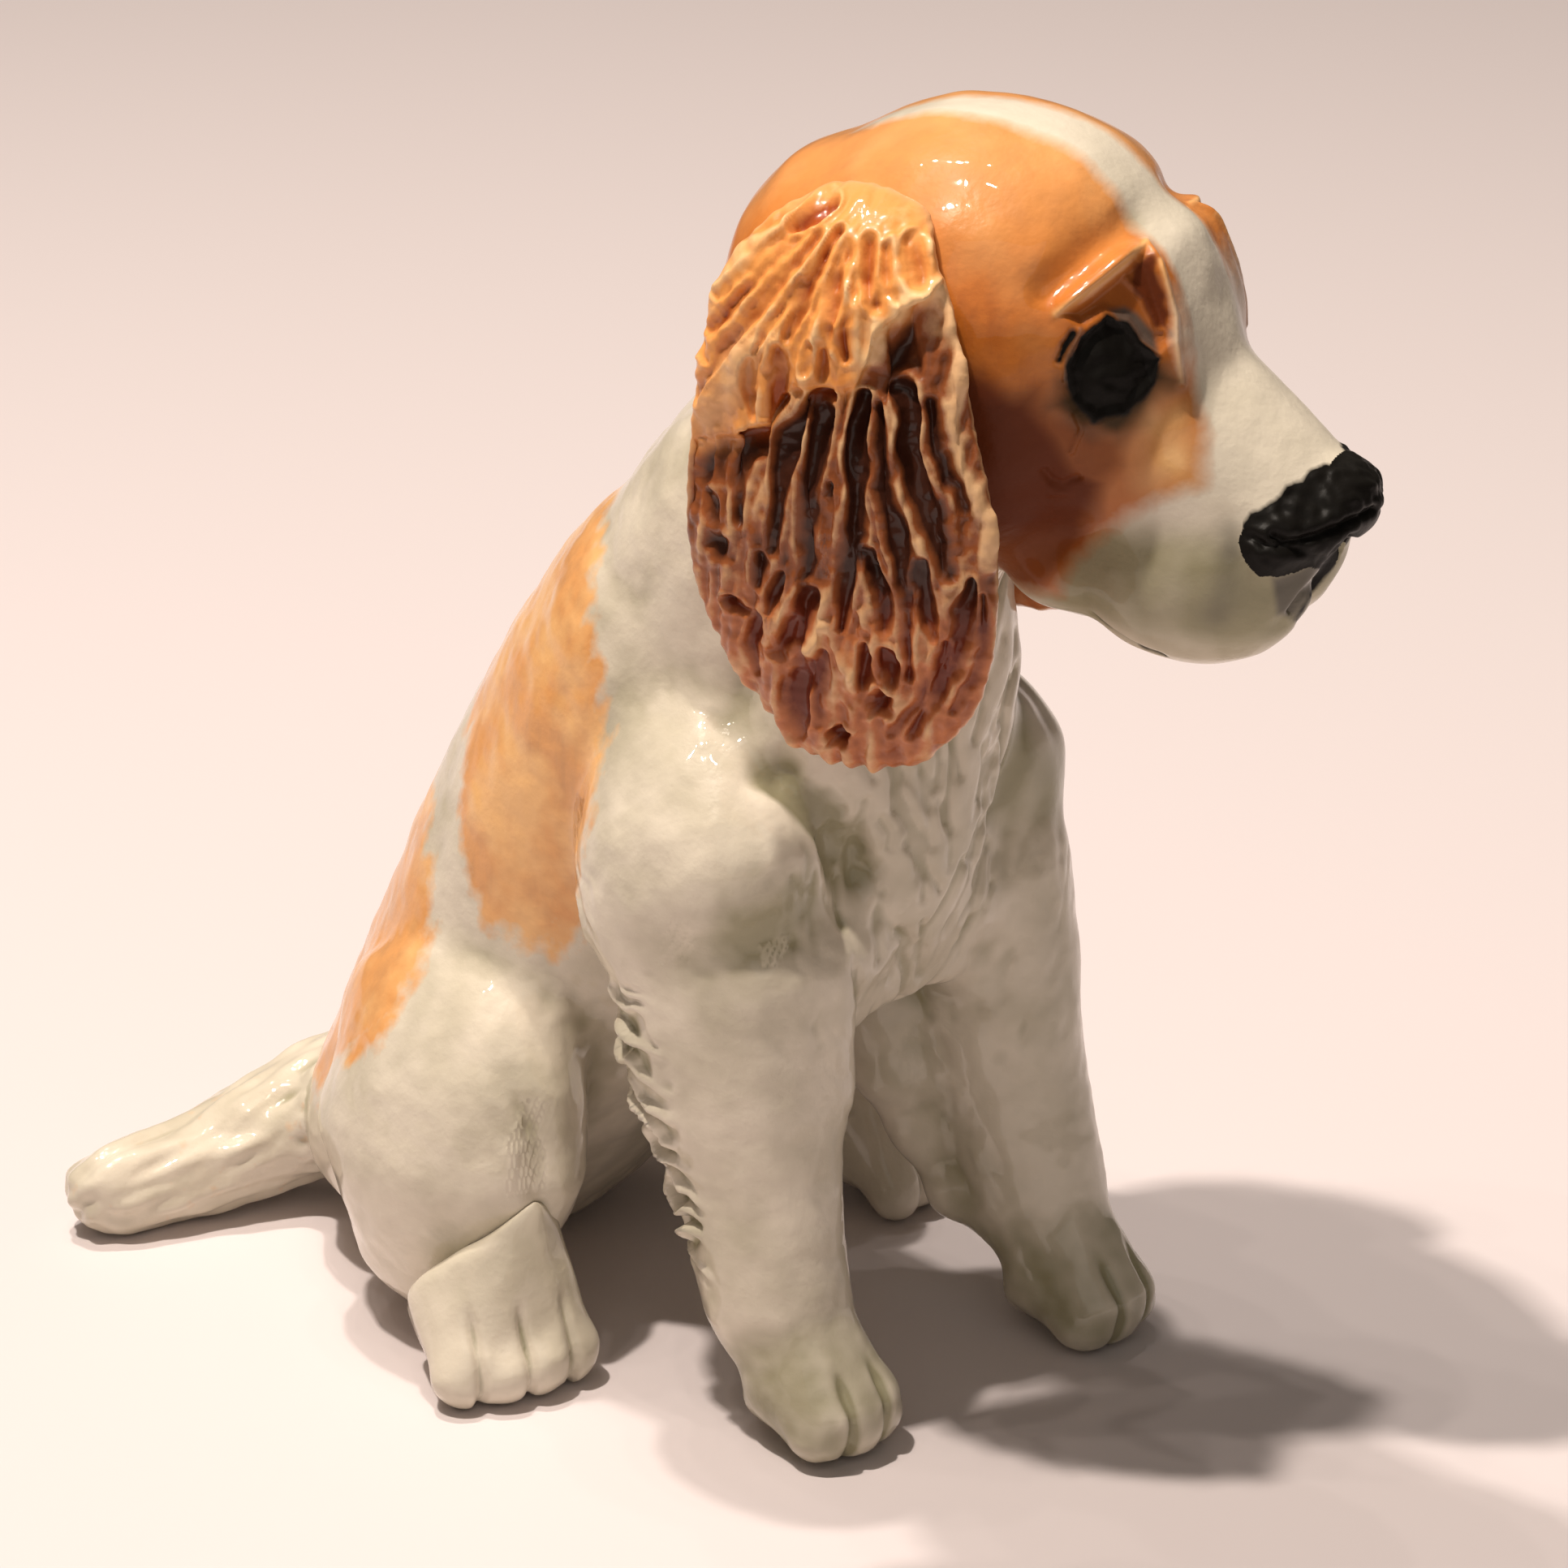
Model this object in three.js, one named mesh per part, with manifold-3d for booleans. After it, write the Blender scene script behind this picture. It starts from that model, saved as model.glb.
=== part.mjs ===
// Hand-built ceramic spaniel, sitting, with its head turned to its own left.
// Every piece is a lump of clay shaped by itself and luted to its neighbours with slip, as a potter builds
// such a figure: trunk, neck, chest fur, shoulders, legs, feet, tail, skull, muzzle, lips, jaw, nose, eyes,
// eyelids and ears. A fired figure is stiff, so nothing here moves.
//
// Millimetres, +Z up. The dog faces -Y and its left side is +X. The origin is on the table,
// in the middle of the flat seat under the rump. Pieces that come in pairs are written for the left side.
import * as THREE from "three";
import { mergeVertices } from "three/addons/utils/BufferGeometryUtils.js";
import Module from "manifold-3d";

const wasm = await Module();
wasm.setup();

// Slip line left between two luted pieces
const SLIP = 0.3;

// Trunk: it leans forward from the rump to the withers. Sections are [half width, half depth].
const RUMP_HEIGHT = 17;
const RUMP_BACK = 2.5; // behind the seat's middle
const WITHERS_HEIGHT = 86;
const WITHERS_AHEAD = 38;
const RUMP_HALF = [28.5, 18.5];
const LOIN_HALF = [26, 22];
const RIBS_HALF = [24.5, 24];
const WITHERS_HALF = [23, 22];

// Neck, from the withers towards the middle of the skull.
// Rows of [share of the way, half width, half depth].
const NECK_REACH = [1, -32, 42];
const NECK_ROWS = [
  [0, 21, 20.5],
  [0.3, 21, 20.5],
  [0.55, 19, 19],
  [0.75, 19, 19],
];

// Chest fur: a bib that hangs in front of the ribs and ends in a point.
// Rows of [share of the way down, half width, half thickness].
const FUR_AHEAD = 60;
const FUR_RISE = 11; // top above the withers
const FUR_TIP_HEIGHT = 50;
const FUR_ROWS = [
  [0, 17, 8],
  [0.35, 20, 8],
  [0.75, 13, 8],
  [1, 4, 4],
];

// Front legs
const FRONT_STANCE = 41; // between the middles of the two legs
const FRONT_AHEAD = 63; // wrists in front of the seat's middle
const FRONT_STEP = 4; // how far the left paw stands ahead of the right
const SHOULDER_DROP = 20; // below the withers
const SHOULDER_BACK = 13; // behind the wrists
const SHOULDER_HALF = [13, 17];
const BLADE_OFFSET = [-5, 7, 13]; // top of the shoulder from its middle
const BLADE_HALF = [9, 11];
const UPPER_ARM_HALF = [9.5, 11];
const ELBOW_HEIGHT = 48;
const ELBOW_BACK = 8;
const ELBOW_HALF = [10.5, 12];
const FOREARM_PLACE = 0.6; // share of the way from elbow to wrist
const FOREARM_HALF = [8.4, 9.3];
const WRIST_HEIGHT = 15;
const WRIST_HALF = [7.8, 8.6];

// Hind legs: thighs folded against the rump
const HIND_STANCE = 54; // between the middles of the two thighs
const THIGH_AHEAD = 16;
const THIGH_HEIGHT = 26;
const THIGH_HALF = [12, 19];
const HIP_HALF = [10.5, 17];
const HIP_OFFSET = [-6, 5, 12]; // from the middle of the thigh
const HOCK_HEIGHT = 13;
const HOCK_BACK = 1; // behind the middle of the thigh
const HOCK_HALF = [10.5, 13];

// Feet: a pad with toes pressed into its front, turned outward by some degrees.
// heelLength is the pad's reach behind the foot's middle; leanHeight raises the inner side
// of the instep.
const FRONT_PAW = {
  toes: 3,
  turn: 4,
  width: 16,
  length: 18,
  heelLength: 4,
  toeHeight: 11,
  instepHeight: 20,
  leanHeight: 0,
};
const FRONT_PAW_AHEAD = 6; // in front of the wrist
const HIND_FOOT = {
  toes: 4,
  turn: 20,
  width: 22,
  length: 24,
  heelLength: 2,
  toeHeight: 9.5,
  instepHeight: 23,
  leanHeight: 4.5,
};
const HIND_FOOT_AHEAD = 12; // in front of the thigh's middle
const HIND_FOOT_OUT = 6;
// Shape of a foot, as shares of its own length, width and heights
const HEEL_WIDTH_SHARE = 0.86;
const HEEL_DOME_SHARE = 0.2; // the pad ends bluntly behind
const BALL_AHEAD_SHARE = 0.2;
const BALL_WIDTH_SHARE = 0.94;
const TOE_WIDTH_SHARE = 1.5; // width of a toe against its share of the foot's width
const TOE_ROOT_SHARE = 0.8; // pitch at the roots against the pitch at the tips
const TOE_DROP_SHARE = 0.76; // height of the tips against the height of the roots
const OUTER_TOE_SHARE = 0.06; // part of the length that a toe lies back, for each step from the middle

// Tail: it lies on the table, out to the dog's right.
// Rows of [share of the way, height of its middle, half thickness].
const TAIL_INSET = 3; // root inside the rump's back
const TAIL_REACH = [-37, 15]; // from root to tip over the table
const TAIL_ROWS = [
  [0, 13.5, 8.5],
  [0.36, 10, 7.8],
  [0.7, 6.3, 6.3],
  [1, 5.5, 5.5],
];

// Head, measured from the middle of the skull with the face along -Y
const HEAD_TURN = 20; // degrees to the dog's left
const SKULL_HALF = [24.5, 28, 25.3]; // half width, half length, half height
// Rows of [place towards the back, rise, width, height], as shares of those half sizes
const SKULL_ROWS = [
  [0.43, -0.04, 0.85, 0.84],
  [0, 0, 1, 1],
  [-0.38, -0.02, 0.93, 0.94],
  [-0.66, -0.06, 0.7, 0.7],
];
// Places on the face, as shares of the skull's half sizes
const MUZZLE_PLACE = [0, -0.64, -0.32];
const JAW_PLACE = [0, -0.43, -0.91];
const EYE_PLACE = [0.506, -0.646, 0.055];
const LID_ARCH = [
  [0.74, -0.57, 0.2],
  [0.63, -0.635, 0.37],
  [0.45, -0.735, 0.49],
  [0.36, -0.84, 0.455],
  [0.375, -0.91, 0.275],
  [0.4, -0.94, 0.08],
];
const EYE_RADIUS = 6.4;
const LID_HALF = 1.6;

// Muzzle, lips, jaw and nose
const MUZZLE_REACH = [0, -20, -10]; // from root to tip
const MUZZLE_ROOT_HALF = [16, 14];
const MUZZLE_MIDDLE_PLACE = 0.6; // share of the way from root to tip
const MUZZLE_MIDDLE_HALF = [12.5, 11];
const MUZZLE_TIP_HALF = [10.5, 8.5];
const FLEW_PLACE = 0.48; // share of the way along the muzzle
const FLEW_HALF = [7.5, 14, 10.5];
const FLEW_OUT = 6.5;
const FLEW_DROP = 8.7; // below the muzzle's middle line
const JAW_ROOT_HALF = [12, 7];
const JAW_TIP_PLACE = 0.6; // share of the way along the muzzle
const JAW_TIP_HALF = [7, 4];
const JAW_DROP = 14;
const NOSE_HALF = 4.5;
const NOSE_AHEAD = 4; // in front of the muzzle's tip
const NOSE_RISE = 4;
const WING_OUT = 8.6; // wings of the nose
const WING_BACK = 5;
const WING_DROP = 3;
const WING_HALF = 4;

// Ears: carved plates that hang from the sides of the skull.
// Rows of [height, front edge, back edge, distance from the skull's side, half thickness].
const EAR_ROWS = [
  [18, -2.5, 11, -6.5, 2.2],
  [15, -5, 15.5, -2, 3],
  [11, -7, 18.5, 0, 4],
  [5, -8.5, 20.5, 2, 4.5],
  [-5, -11, 21.5, 3.5, 4.5],
  [-15, -13.5, 22, 4, 4.5],
  [-25, -13.5, 19.5, 3.5, 4.5],
  [-33, -11, 16.5, 2.5, 4],
  [-38.5, -6, 12, 1.5, 3.5],
];
const EAR_LOCKS = 8;
const LOCK_DEPTH = 1.4;
const LOCK_SHARE = 0.6; // part of the depth that is cut below the plate's face
const TIER_STEP = 1.8; // the upper tier of locks stands proud of the lower
const ROLL_HEIGHT = 1.2; // rolled front edge of the upper tier
// Places along an ear, as shares of its length
const TIER_EDGE = 0.37; // end of the upper tier, in the middle of the ear
const TIER_RISE_FRONT = 0.18; // how much higher it ends at the front edge
const TIER_FALL_BACK = 0.12; // how much lower it ends at the back edge
const TIER_BLEND = 0.03;
const ROLL_SPREAD = 0.035;
// Fan and sway of the locks, as shares of the ear's half width
const FAN_TOP = 1.25;
const FAN_CLOSE = 0.5; // from the top to the tip
const SWAY = 0.1;
const SWAY_TURN = 9; // radians over the length of the ear
const SWAY_LAG = 2; // radians over half its width
const LOWER_SHIFT = 1.2; // radians by which the lower locks stand beside the upper ones
const UPPER_CUT = 0.7; // depth of the upper locks against LOCK_DEPTH
const LOWER_CUT = 1.2;
const CARVED_FACE = 0.2; // carving starts this share of the thickness out from the middle
const FACE_CROWD = 0.6; // share of points drawn to the carved face

// Facets of an oval ball, round it and from pole to pole
const LUMP_FACETS = 14;
const LUMP_ROWS = 10;

// Glazes
const glaze = (color, roughness) => new THREE.MeshStandardMaterial({ color, roughness, metalness: 0 });
const WHITE_GLAZE = glaze(0xd9cfbd, 0.18);
const TAN_GLAZE = glaze(0xc8702e, 0.15);
const BLACK_GLAZE = glaze(0x14110f, 0.2);

const X_AXIS = new THREE.Vector3(1, 0, 0);
const Y_AXIS = new THREE.Vector3(0, 1, 0);

const { degToRad, lerp, smoothstep } = THREE.MathUtils;
const plus = (a, b) => a.map((value, i) => value + b[i]);
const between = (a, b, t) => a.map((value, i) => lerp(value, b[i], t));

// A clay form: oval sections along a smooth spine, domed at both ends.
// A bead is [x, y, z, half width, half depth]; the width lies along the side axis.
// domes gives the lengths of the two end domes as shares of the end sections; grow swells the whole form.
// relief(across, face, t) is in millimetres along the depth: across and face run from -1 to 1 over
// a section, t from 0 to 1 along the spine. crowd draws a section's points to one face, for fine relief.
function clay(beads, options = {}) {
  const { sides = 16, rings = 6, domes = [1, 1], domeRings = 3, side = X_AXIS } = options;
  const { relief = () => 0, crowd = 0, grow = 0 } = options;
  const spine = new THREE.CatmullRomCurve3(beads.map(([x, y, z]) => new THREE.Vector3(x, y, z)));
  const halves = new THREE.CatmullRomCurve3(beads.map(([, , , w, d]) => new THREE.Vector3(w, d, 0)));
  const sections = [];
  const addSection = (t, reach, scale) => {
    const along = spine.getTangent(t);
    const across = side.clone().addScaledVector(along, -side.dot(along)).normalize();
    const deep = new THREE.Vector3().crossVectors(along, across);
    const half = halves.getPoint(t).addScalar(grow);
    sections.push({ t, across, deep, half, scale, at: spine.getPoint(t).addScaledVector(along, reach) });
  };
  const addDome = (t, share, turns) => {
    const half = halves.getPoint(t);
    const length = share * Math.min(half.x, half.y) + grow;
    for (const turn of turns) {
      const a = ((Math.PI / 2) * turn) / domeRings;
      addSection(t, (t === 0 ? -1 : 1) * length * Math.sin(a), Math.cos(a));
    }
  };
  const turns = Array.from({ length: domeRings }, (_, i) => i + 1);
  addDome(0, domes[0], [...turns].reverse());
  for (let i = 0; i <= rings; i++) addSection(i / rings, 0, 1);
  addDome(1, domes[1], turns);
  const points = [sections[0].at];
  for (const { t, across, deep, half, scale, at } of sections.slice(1, -1)) {
    for (let k = 0; k < sides; k++) {
      const turn = (2 * Math.PI * k) / sides;
      const a = turn + crowd * Math.cos(turn);
      const wide = Math.cos(a);
      const face = Math.sin(a);
      const point = at.clone().addScaledVector(across, scale * half.x * wide);
      points.push(point.addScaledVector(deep, scale * (half.y * face + relief(wide, face, t))));
    }
  }
  points.push(sections.at(-1).at);
  const end = points.length - 1;
  const loops = sections.length - 2;
  const spot = (i, k) => 1 + i * sides + (k % sides);
  const faces = [];
  for (let k = 0; k < sides; k++) {
    faces.push(0, spot(0, k + 1), spot(0, k));
    for (let i = 0; i + 1 < loops; i++) {
      faces.push(spot(i, k), spot(i, k + 1), spot(i + 1, k + 1));
      faces.push(spot(i, k), spot(i + 1, k + 1), spot(i + 1, k));
    }
    faces.push(end, spot(loops - 1, k), spot(loops - 1, k + 1));
  }
  return new THREE.BufferGeometry().setFromPoints(points).setIndex(faces);
}

// A lump: an oval ball at a place, with its three half sizes
function lump([x, y, z], [rx, ry, rz], grow = 0) {
  return new THREE.SphereGeometry(1, LUMP_FACETS, LUMP_ROWS)
    .rotateX(Math.PI / 2)
    .scale(rx + grow, ry + grow, rz + grow)
    .translate(x, y, z);
}

function solid(geometry) {
  const bare = new THREE.BufferGeometry().setAttribute("position", geometry.getAttribute("position"));
  const merged = mergeVertices(bare.setIndex(geometry.index));
  const vertProperties = merged.getAttribute("position").array;
  const triVerts = new Uint32Array(merged.index.array);
  return new wasm.Manifold(new wasm.Mesh({ numProp: 3, vertProperties, triVerts }));
}

function geometryOf(made) {
  const { vertProperties, triVerts } = made.getMesh();
  return new THREE.BufferGeometry()
    .setAttribute("position", new THREE.BufferAttribute(vertProperties, 3))
    .setIndex(new THREE.BufferAttribute(triVerts, 1));
}

const joined = (forms) => forms.map(solid).reduce((a, b) => a.add(b));
const join = (...forms) => geometryOf(joined(forms));
const carve = (form, ...cutters) => geometryOf(solid(form).subtract(joined(cutters)));

const SIDES = ["right", "left"];
const sign = (side) => (side === "left" ? 1 : -1);
const onSide = (side, [out, ...rest]) => [sign(side) * out, ...rest];

// Body landmarks
const RUMP = [0, RUMP_BACK, RUMP_HEIGHT];
const WITHERS = [0, -WITHERS_AHEAD, WITHERS_HEIGHT];
const SKULL_AT = plus(WITHERS, NECK_REACH);

// Everything is trimmed level with the table
const TABLE_SIZE = 2 * (SKULL_AT[2] + SKULL_HALF[2]);
const table = () => {
  const block = new THREE.BoxGeometry(TABLE_SIZE, TABLE_SIZE, TABLE_SIZE);
  return block.translate(0, 0, -TABLE_SIZE / 2);
};

const torso = (grow = 0) =>
  clay(
    [
      [...RUMP, ...RUMP_HALF],
      [...between(RUMP, WITHERS, 1 / 3), ...LOIN_HALF],
      [...between(RUMP, WITHERS, 2 / 3), ...RIBS_HALF],
      [...WITHERS, ...WITHERS_HALF],
    ],
    { sides: 22, rings: 9, domes: [1, 0.7], domeRings: 4, grow },
  );

const neck = (grow = 0) =>
  clay(
    NECK_ROWS.map(([way, ...half]) => [...between(WITHERS, SKULL_AT, way), ...half]),
    { sides: 14, rings: 5, domes: [0.4, 0.4], grow },
  );

const chestFur = (grow = 0) => {
  const top = [0, -FUR_AHEAD, WITHERS_HEIGHT + FUR_RISE];
  const tip = [0, -FUR_AHEAD, FUR_TIP_HEIGHT];
  return clay(
    FUR_ROWS.map(([way, ...half]) => [...between(top, tip, way), ...half]),
    { sides: 14, rings: 7, grow },
  );
};

// Legs
const SHOULDER_HEIGHT = WITHERS_HEIGHT - SHOULDER_DROP;
const ARM_AT = [FRONT_STANCE / 2, ELBOW_BACK - FRONT_AHEAD, (SHOULDER_HEIGHT + ELBOW_HEIGHT) / 2];
const wristAt = (side) => [FRONT_STANCE / 2, -FRONT_AHEAD - (sign(side) * FRONT_STEP) / 2, WRIST_HEIGHT];
const THIGH_AT = [HIND_STANCE / 2, -THIGH_AHEAD, THIGH_HEIGHT];

const shoulder = (side, grow = 0) => {
  const middle = [FRONT_STANCE / 2, SHOULDER_BACK - FRONT_AHEAD, SHOULDER_HEIGHT];
  const blade = plus(middle, BLADE_OFFSET);
  return clay(
    [
      [...onSide(side, blade), ...BLADE_HALF],
      [...onSide(side, middle), ...SHOULDER_HALF],
      [...onSide(side, ARM_AT), ...UPPER_ARM_HALF],
    ],
    { sides: 14, rings: 5, grow },
  );
};

const foreleg = (side, grow = 0) => {
  const wrist = wristAt(side);
  const elbow = [FRONT_STANCE / 2, ELBOW_BACK - FRONT_AHEAD, ELBOW_HEIGHT];
  return clay(
    [
      [...onSide(side, ARM_AT), ...ELBOW_HALF],
      [...onSide(side, elbow), ...ELBOW_HALF],
      [...onSide(side, between(elbow, wrist, FOREARM_PLACE)), ...FOREARM_HALF],
      [...onSide(side, wrist), ...WRIST_HALF],
    ],
    { sides: 14, rings: 6, domes: [0.9, 0.9], grow },
  );
};

const thigh = (side, grow = 0) => {
  const hip = plus(THIGH_AT, HIP_OFFSET);
  const hock = [THIGH_AT[0], THIGH_AT[1] + HOCK_BACK, HOCK_HEIGHT];
  return clay(
    [
      [...onSide(side, hip), ...HIP_HALF],
      [...onSide(side, THIGH_AT), ...THIGH_HALF],
      [...onSide(side, hock), ...HOCK_HALF],
    ],
    { rings: 5, domes: [0.9, 1], grow },
  );
};

// A foot points along -Y from its own origin on the table
function foot(side, size) {
  const { toes, width, length, heelLength, toeHeight, instepHeight, leanHeight } = size;
  const ball = -BALL_AHEAD_SHARE * length;
  const lean = -sign(side) * leanHeight;
  const pad = clay(
    [
      [0, heelLength, instepHeight / 2, (HEEL_WIDTH_SHARE * width) / 2, instepHeight / 2],
      [0, ball, toeHeight / 2, (BALL_WIDTH_SHARE * width) / 2, toeHeight / 2],
    ],
    {
      sides: 12,
      rings: 3,
      domes: [HEEL_DOME_SHARE, 0.8],
      domeRings: 2,
      relief: (across, face, t) => lean * across * Math.max(face, 0) * (1 - t),
    },
  );
  const half = (TOE_WIDTH_SHARE * width) / toes / 2;
  const pitch = (width - 2 * half) / (toes - 1);
  const tipRise = (TOE_DROP_SHARE * toeHeight) / 2;
  const pressed = Array.from({ length: toes }, (_, i) => {
    const place = i - (toes - 1) / 2;
    const tip = half - length * (1 / 2 - OUTER_TOE_SHARE * Math.abs(place));
    return clay(
      [
        [TOE_ROOT_SHARE * place * pitch, ball, toeHeight / 2, half, toeHeight / 2],
        [place * pitch, tip, tipRise, half, tipRise],
      ],
      { sides: 10, rings: 1, domeRings: 2 },
    );
  });
  return join(pad, ...pressed);
}

const tail = (grow = 0) => {
  const root = [0, RUMP_BACK + RUMP_HALF[1] - TAIL_INSET];
  const tip = plus(root, TAIL_REACH);
  return clay(
    TAIL_ROWS.map(([way, height, half]) => [...between(root, tip, way), height, half, half]),
    { sides: 12, rings: 9, domes: [0.8, 1], grow },
  );
};

// Head
const onSkull = (shares) => shares.map((share, i) => share * SKULL_HALF[i]);
const MUZZLE_ROOT = onSkull(MUZZLE_PLACE);
const MUZZLE_TIP = plus(MUZZLE_ROOT, MUZZLE_REACH);
const below = (at, drop) => plus(at, [0, 0, -drop]);

const skull = (grow = 0) =>
  clay(
    SKULL_ROWS.map(([back, rise, width, height]) => [
      ...onSkull([0, back, rise]),
      width * SKULL_HALF[0],
      height * SKULL_HALF[2],
    ]),
    { sides: 18, rings: 7, domes: [0.75, 0.6], domeRings: 4, grow },
  );

const muzzle = (grow = 0) =>
  clay(
    [
      [...MUZZLE_ROOT, ...MUZZLE_ROOT_HALF],
      [...between(MUZZLE_ROOT, MUZZLE_TIP, MUZZLE_MIDDLE_PLACE), ...MUZZLE_MIDDLE_HALF],
      [...MUZZLE_TIP, ...MUZZLE_TIP_HALF],
    ],
    { rings: 5, domes: [0.5, 0.5], grow },
  );

const flew = (side, grow = 0) => {
  const middle = below(between(MUZZLE_ROOT, MUZZLE_TIP, FLEW_PLACE), FLEW_DROP);
  return lump(onSide(side, plus(middle, [FLEW_OUT, 0, 0])), FLEW_HALF, grow);
};

const jaw = (grow = 0) =>
  clay(
    [
      [...onSkull(JAW_PLACE), ...JAW_ROOT_HALF],
      [...below(between(MUZZLE_ROOT, MUZZLE_TIP, JAW_TIP_PLACE), JAW_DROP), ...JAW_TIP_HALF],
    ],
    { sides: 10, rings: 3, grow },
  );

const nose = (grow = 0) => {
  const middle = plus(MUZZLE_TIP, [0, -NOSE_AHEAD, NOSE_RISE]);
  const wing = plus(middle, [WING_OUT, WING_BACK, -WING_DROP]);
  return clay(
    [
      [...onSide("right", wing), WING_HALF, WING_HALF],
      [...middle, NOSE_HALF, NOSE_HALF],
      [...onSide("left", wing), WING_HALF, WING_HALF],
    ],
    { sides: 10, side: Y_AXIS, grow },
  );
};

const eye = (side, grow = 0) =>
  lump(onSide(side, onSkull(EYE_PLACE)), [EYE_RADIUS, EYE_RADIUS, EYE_RADIUS], grow);

const eyelid = (side) =>
  clay(
    LID_ARCH.map((place) => [...onSide(side, onSkull(place)), LID_HALF, LID_HALF]),
    { sides: 8, rings: 10, domeRings: 2, side: Y_AXIS },
  );

// Carved relief of an ear, in millimetres outward. across runs from -1 at the front edge to 1 at the back,
// t from 0 at the top to 1 at the tip. A fan of locks covers the upper tier, whose front edge rolls over
// a hollow; longer, swaying locks hang below it.
function locks(across, t) {
  const tierEdge = TIER_EDGE + (across < 0 ? TIER_RISE_FRONT : TIER_FALL_BACK) * across;
  const under = t - tierEdge;
  const lower = smoothstep(under, -TIER_BLEND, TIER_BLEND);
  const roll = across < 0 ? Math.exp(-((under / ROLL_SPREAD) ** 2)) : 0;
  const sway = SWAY * Math.sin(SWAY_TURN * t + SWAY_LAG * across);
  const fan = across * (FAN_TOP - FAN_CLOSE * t) + sway * lower;
  const ridge = Math.abs(Math.sin((Math.PI / 2) * EAR_LOCKS * fan + LOWER_SHIFT * lower));
  const carved = LOCK_DEPTH * (ridge - LOCK_SHARE) * lerp(UPPER_CUT, LOWER_CUT, lower);
  return carved + ROLL_HEIGHT * roll - TIER_STEP * lower * (1 - t);
}

const ear = (side) => {
  const outward = sign(side);
  return clay(
    EAR_ROWS.map(([height, front, back, clear, thick]) => [
      ...onSide(side, [SKULL_HALF[0] + clear, (front + back) / 2, height]),
      (back - front) / 2,
      thick,
    ]),
    {
      sides: 34,
      rings: 18,
      domes: [0.9, 0.9],
      side: Y_AXIS,
      crowd: FACE_CROWD * outward,
      relief: (across, face, t) => (outward * face > CARVED_FACE ? outward * locks(across, t) : 0),
    },
  );
};

// Assembly
const dog = new THREE.Group();
const head = new THREE.Group();
head.position.set(...SKULL_AT);
head.rotation.z = degToRad(HEAD_TURN);
head.updateMatrix();
dog.add(head);

const toHead = head.matrix.clone().invert();
const fromHead = (form) => form.applyMatrix4(head.matrix);
const intoHead = (form) => form.applyMatrix4(toHead);

function seat(group, name, material, form, ...cutters) {
  const mesh = new THREE.Mesh(cutters.length ? carve(form, ...cutters) : form, material);
  mesh.name = name;
  group.add(mesh);
}

function seatFoot(name, side, size, [out, y], limb) {
  const place = new THREE.Group();
  place.position.set(sign(side) * out, y, 0);
  place.rotation.z = degToRad(sign(side) * size.turn);
  place.updateMatrix();
  dog.add(place);
  const inPlace = place.matrix.clone().invert();
  seat(place, name, WHITE_GLAZE, foot(side, size), table(), limb.applyMatrix4(inPlace));
}

const headAbove = () => [skull(SLIP), jaw(SLIP)].map(fromHead);
seat(dog, "torso", WHITE_GLAZE, torso(), table());
seat(dog, "neck", WHITE_GLAZE, neck(), torso(SLIP), ...headAbove());
seat(dog, "chest_fur", WHITE_GLAZE, chestFur(), torso(SLIP), neck(SLIP), ...headAbove());
for (const side of SIDES) {
  const [wristOut, wristY] = wristAt(side);
  const [thighOut, thighY] = THIGH_AT;
  const chest = () => [torso(SLIP), neck(SLIP), chestFur(SLIP)];
  seat(dog, `${side}_shoulder`, WHITE_GLAZE, shoulder(side), ...chest());
  seat(dog, `${side}_foreleg`, WHITE_GLAZE, foreleg(side), ...chest(), shoulder(side, SLIP));
  seatFoot(`${side}_front_paw`, side, FRONT_PAW, [wristOut, wristY - FRONT_PAW_AHEAD], foreleg(side, SLIP));
  seat(dog, `${side}_thigh`, WHITE_GLAZE, thigh(side), torso(SLIP), table());
  const hindPlace = [thighOut + HIND_FOOT_OUT, thighY - HIND_FOOT_AHEAD];
  seatFoot(`${side}_hind_foot`, side, HIND_FOOT, hindPlace, thigh(side, SLIP));
}
seat(dog, "tail", WHITE_GLAZE, tail(), torso(SLIP), thigh("right", SLIP), table());

const eyes = () => SIDES.map((side) => eye(side, SLIP));
const flews = () => SIDES.map((side) => flew(side, SLIP));
seat(head, "skull", TAN_GLAZE, skull(), ...eyes());
seat(head, "muzzle", WHITE_GLAZE, muzzle(), skull(SLIP), ...eyes());
seat(head, "nose", BLACK_GLAZE, nose(), muzzle(SLIP));
const face = () => [muzzle(SLIP), skull(SLIP), nose(SLIP)];
seat(head, "right_flew", WHITE_GLAZE, flew("right"), ...face());
seat(head, "left_flew", WHITE_GLAZE, flew("left"), ...face(), flew("right", SLIP));
seat(head, "jaw", WHITE_GLAZE, jaw(), ...face(), ...flews());
for (const side of SIDES) {
  const bodyBelow = [neck(SLIP), shoulder(side, SLIP), chestFur(SLIP)].map(intoHead);
  seat(head, `${side}_eye`, BLACK_GLAZE, eye(side));
  seat(head, `${side}_eyelid`, TAN_GLAZE, eyelid(side), skull(SLIP), eye(side, SLIP), muzzle(SLIP));
  seat(head, `${side}_ear`, TAN_GLAZE, ear(side), skull(SLIP), ...bodyBelow);
}

export default dog;
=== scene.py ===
# %% [markdown]
# # A sitting spaniel in glazed clay
# The figure was built by hand from lumps of clay, luted with slip, tooled while soft, painted with
# coloured glaze and fired. The CAD nodes are those lumps. Here they are melted into one skin, tooled and
# painted, and the skin is then cut along the luted joints again, so that each lump stays a piece of its
# own. Lengths are in millimetres until they are written into a mesh.

# %% The frame
import math

import bpy
import numpy as np
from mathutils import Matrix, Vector, noise
from mathutils.bvhtree import BVHTree


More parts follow.
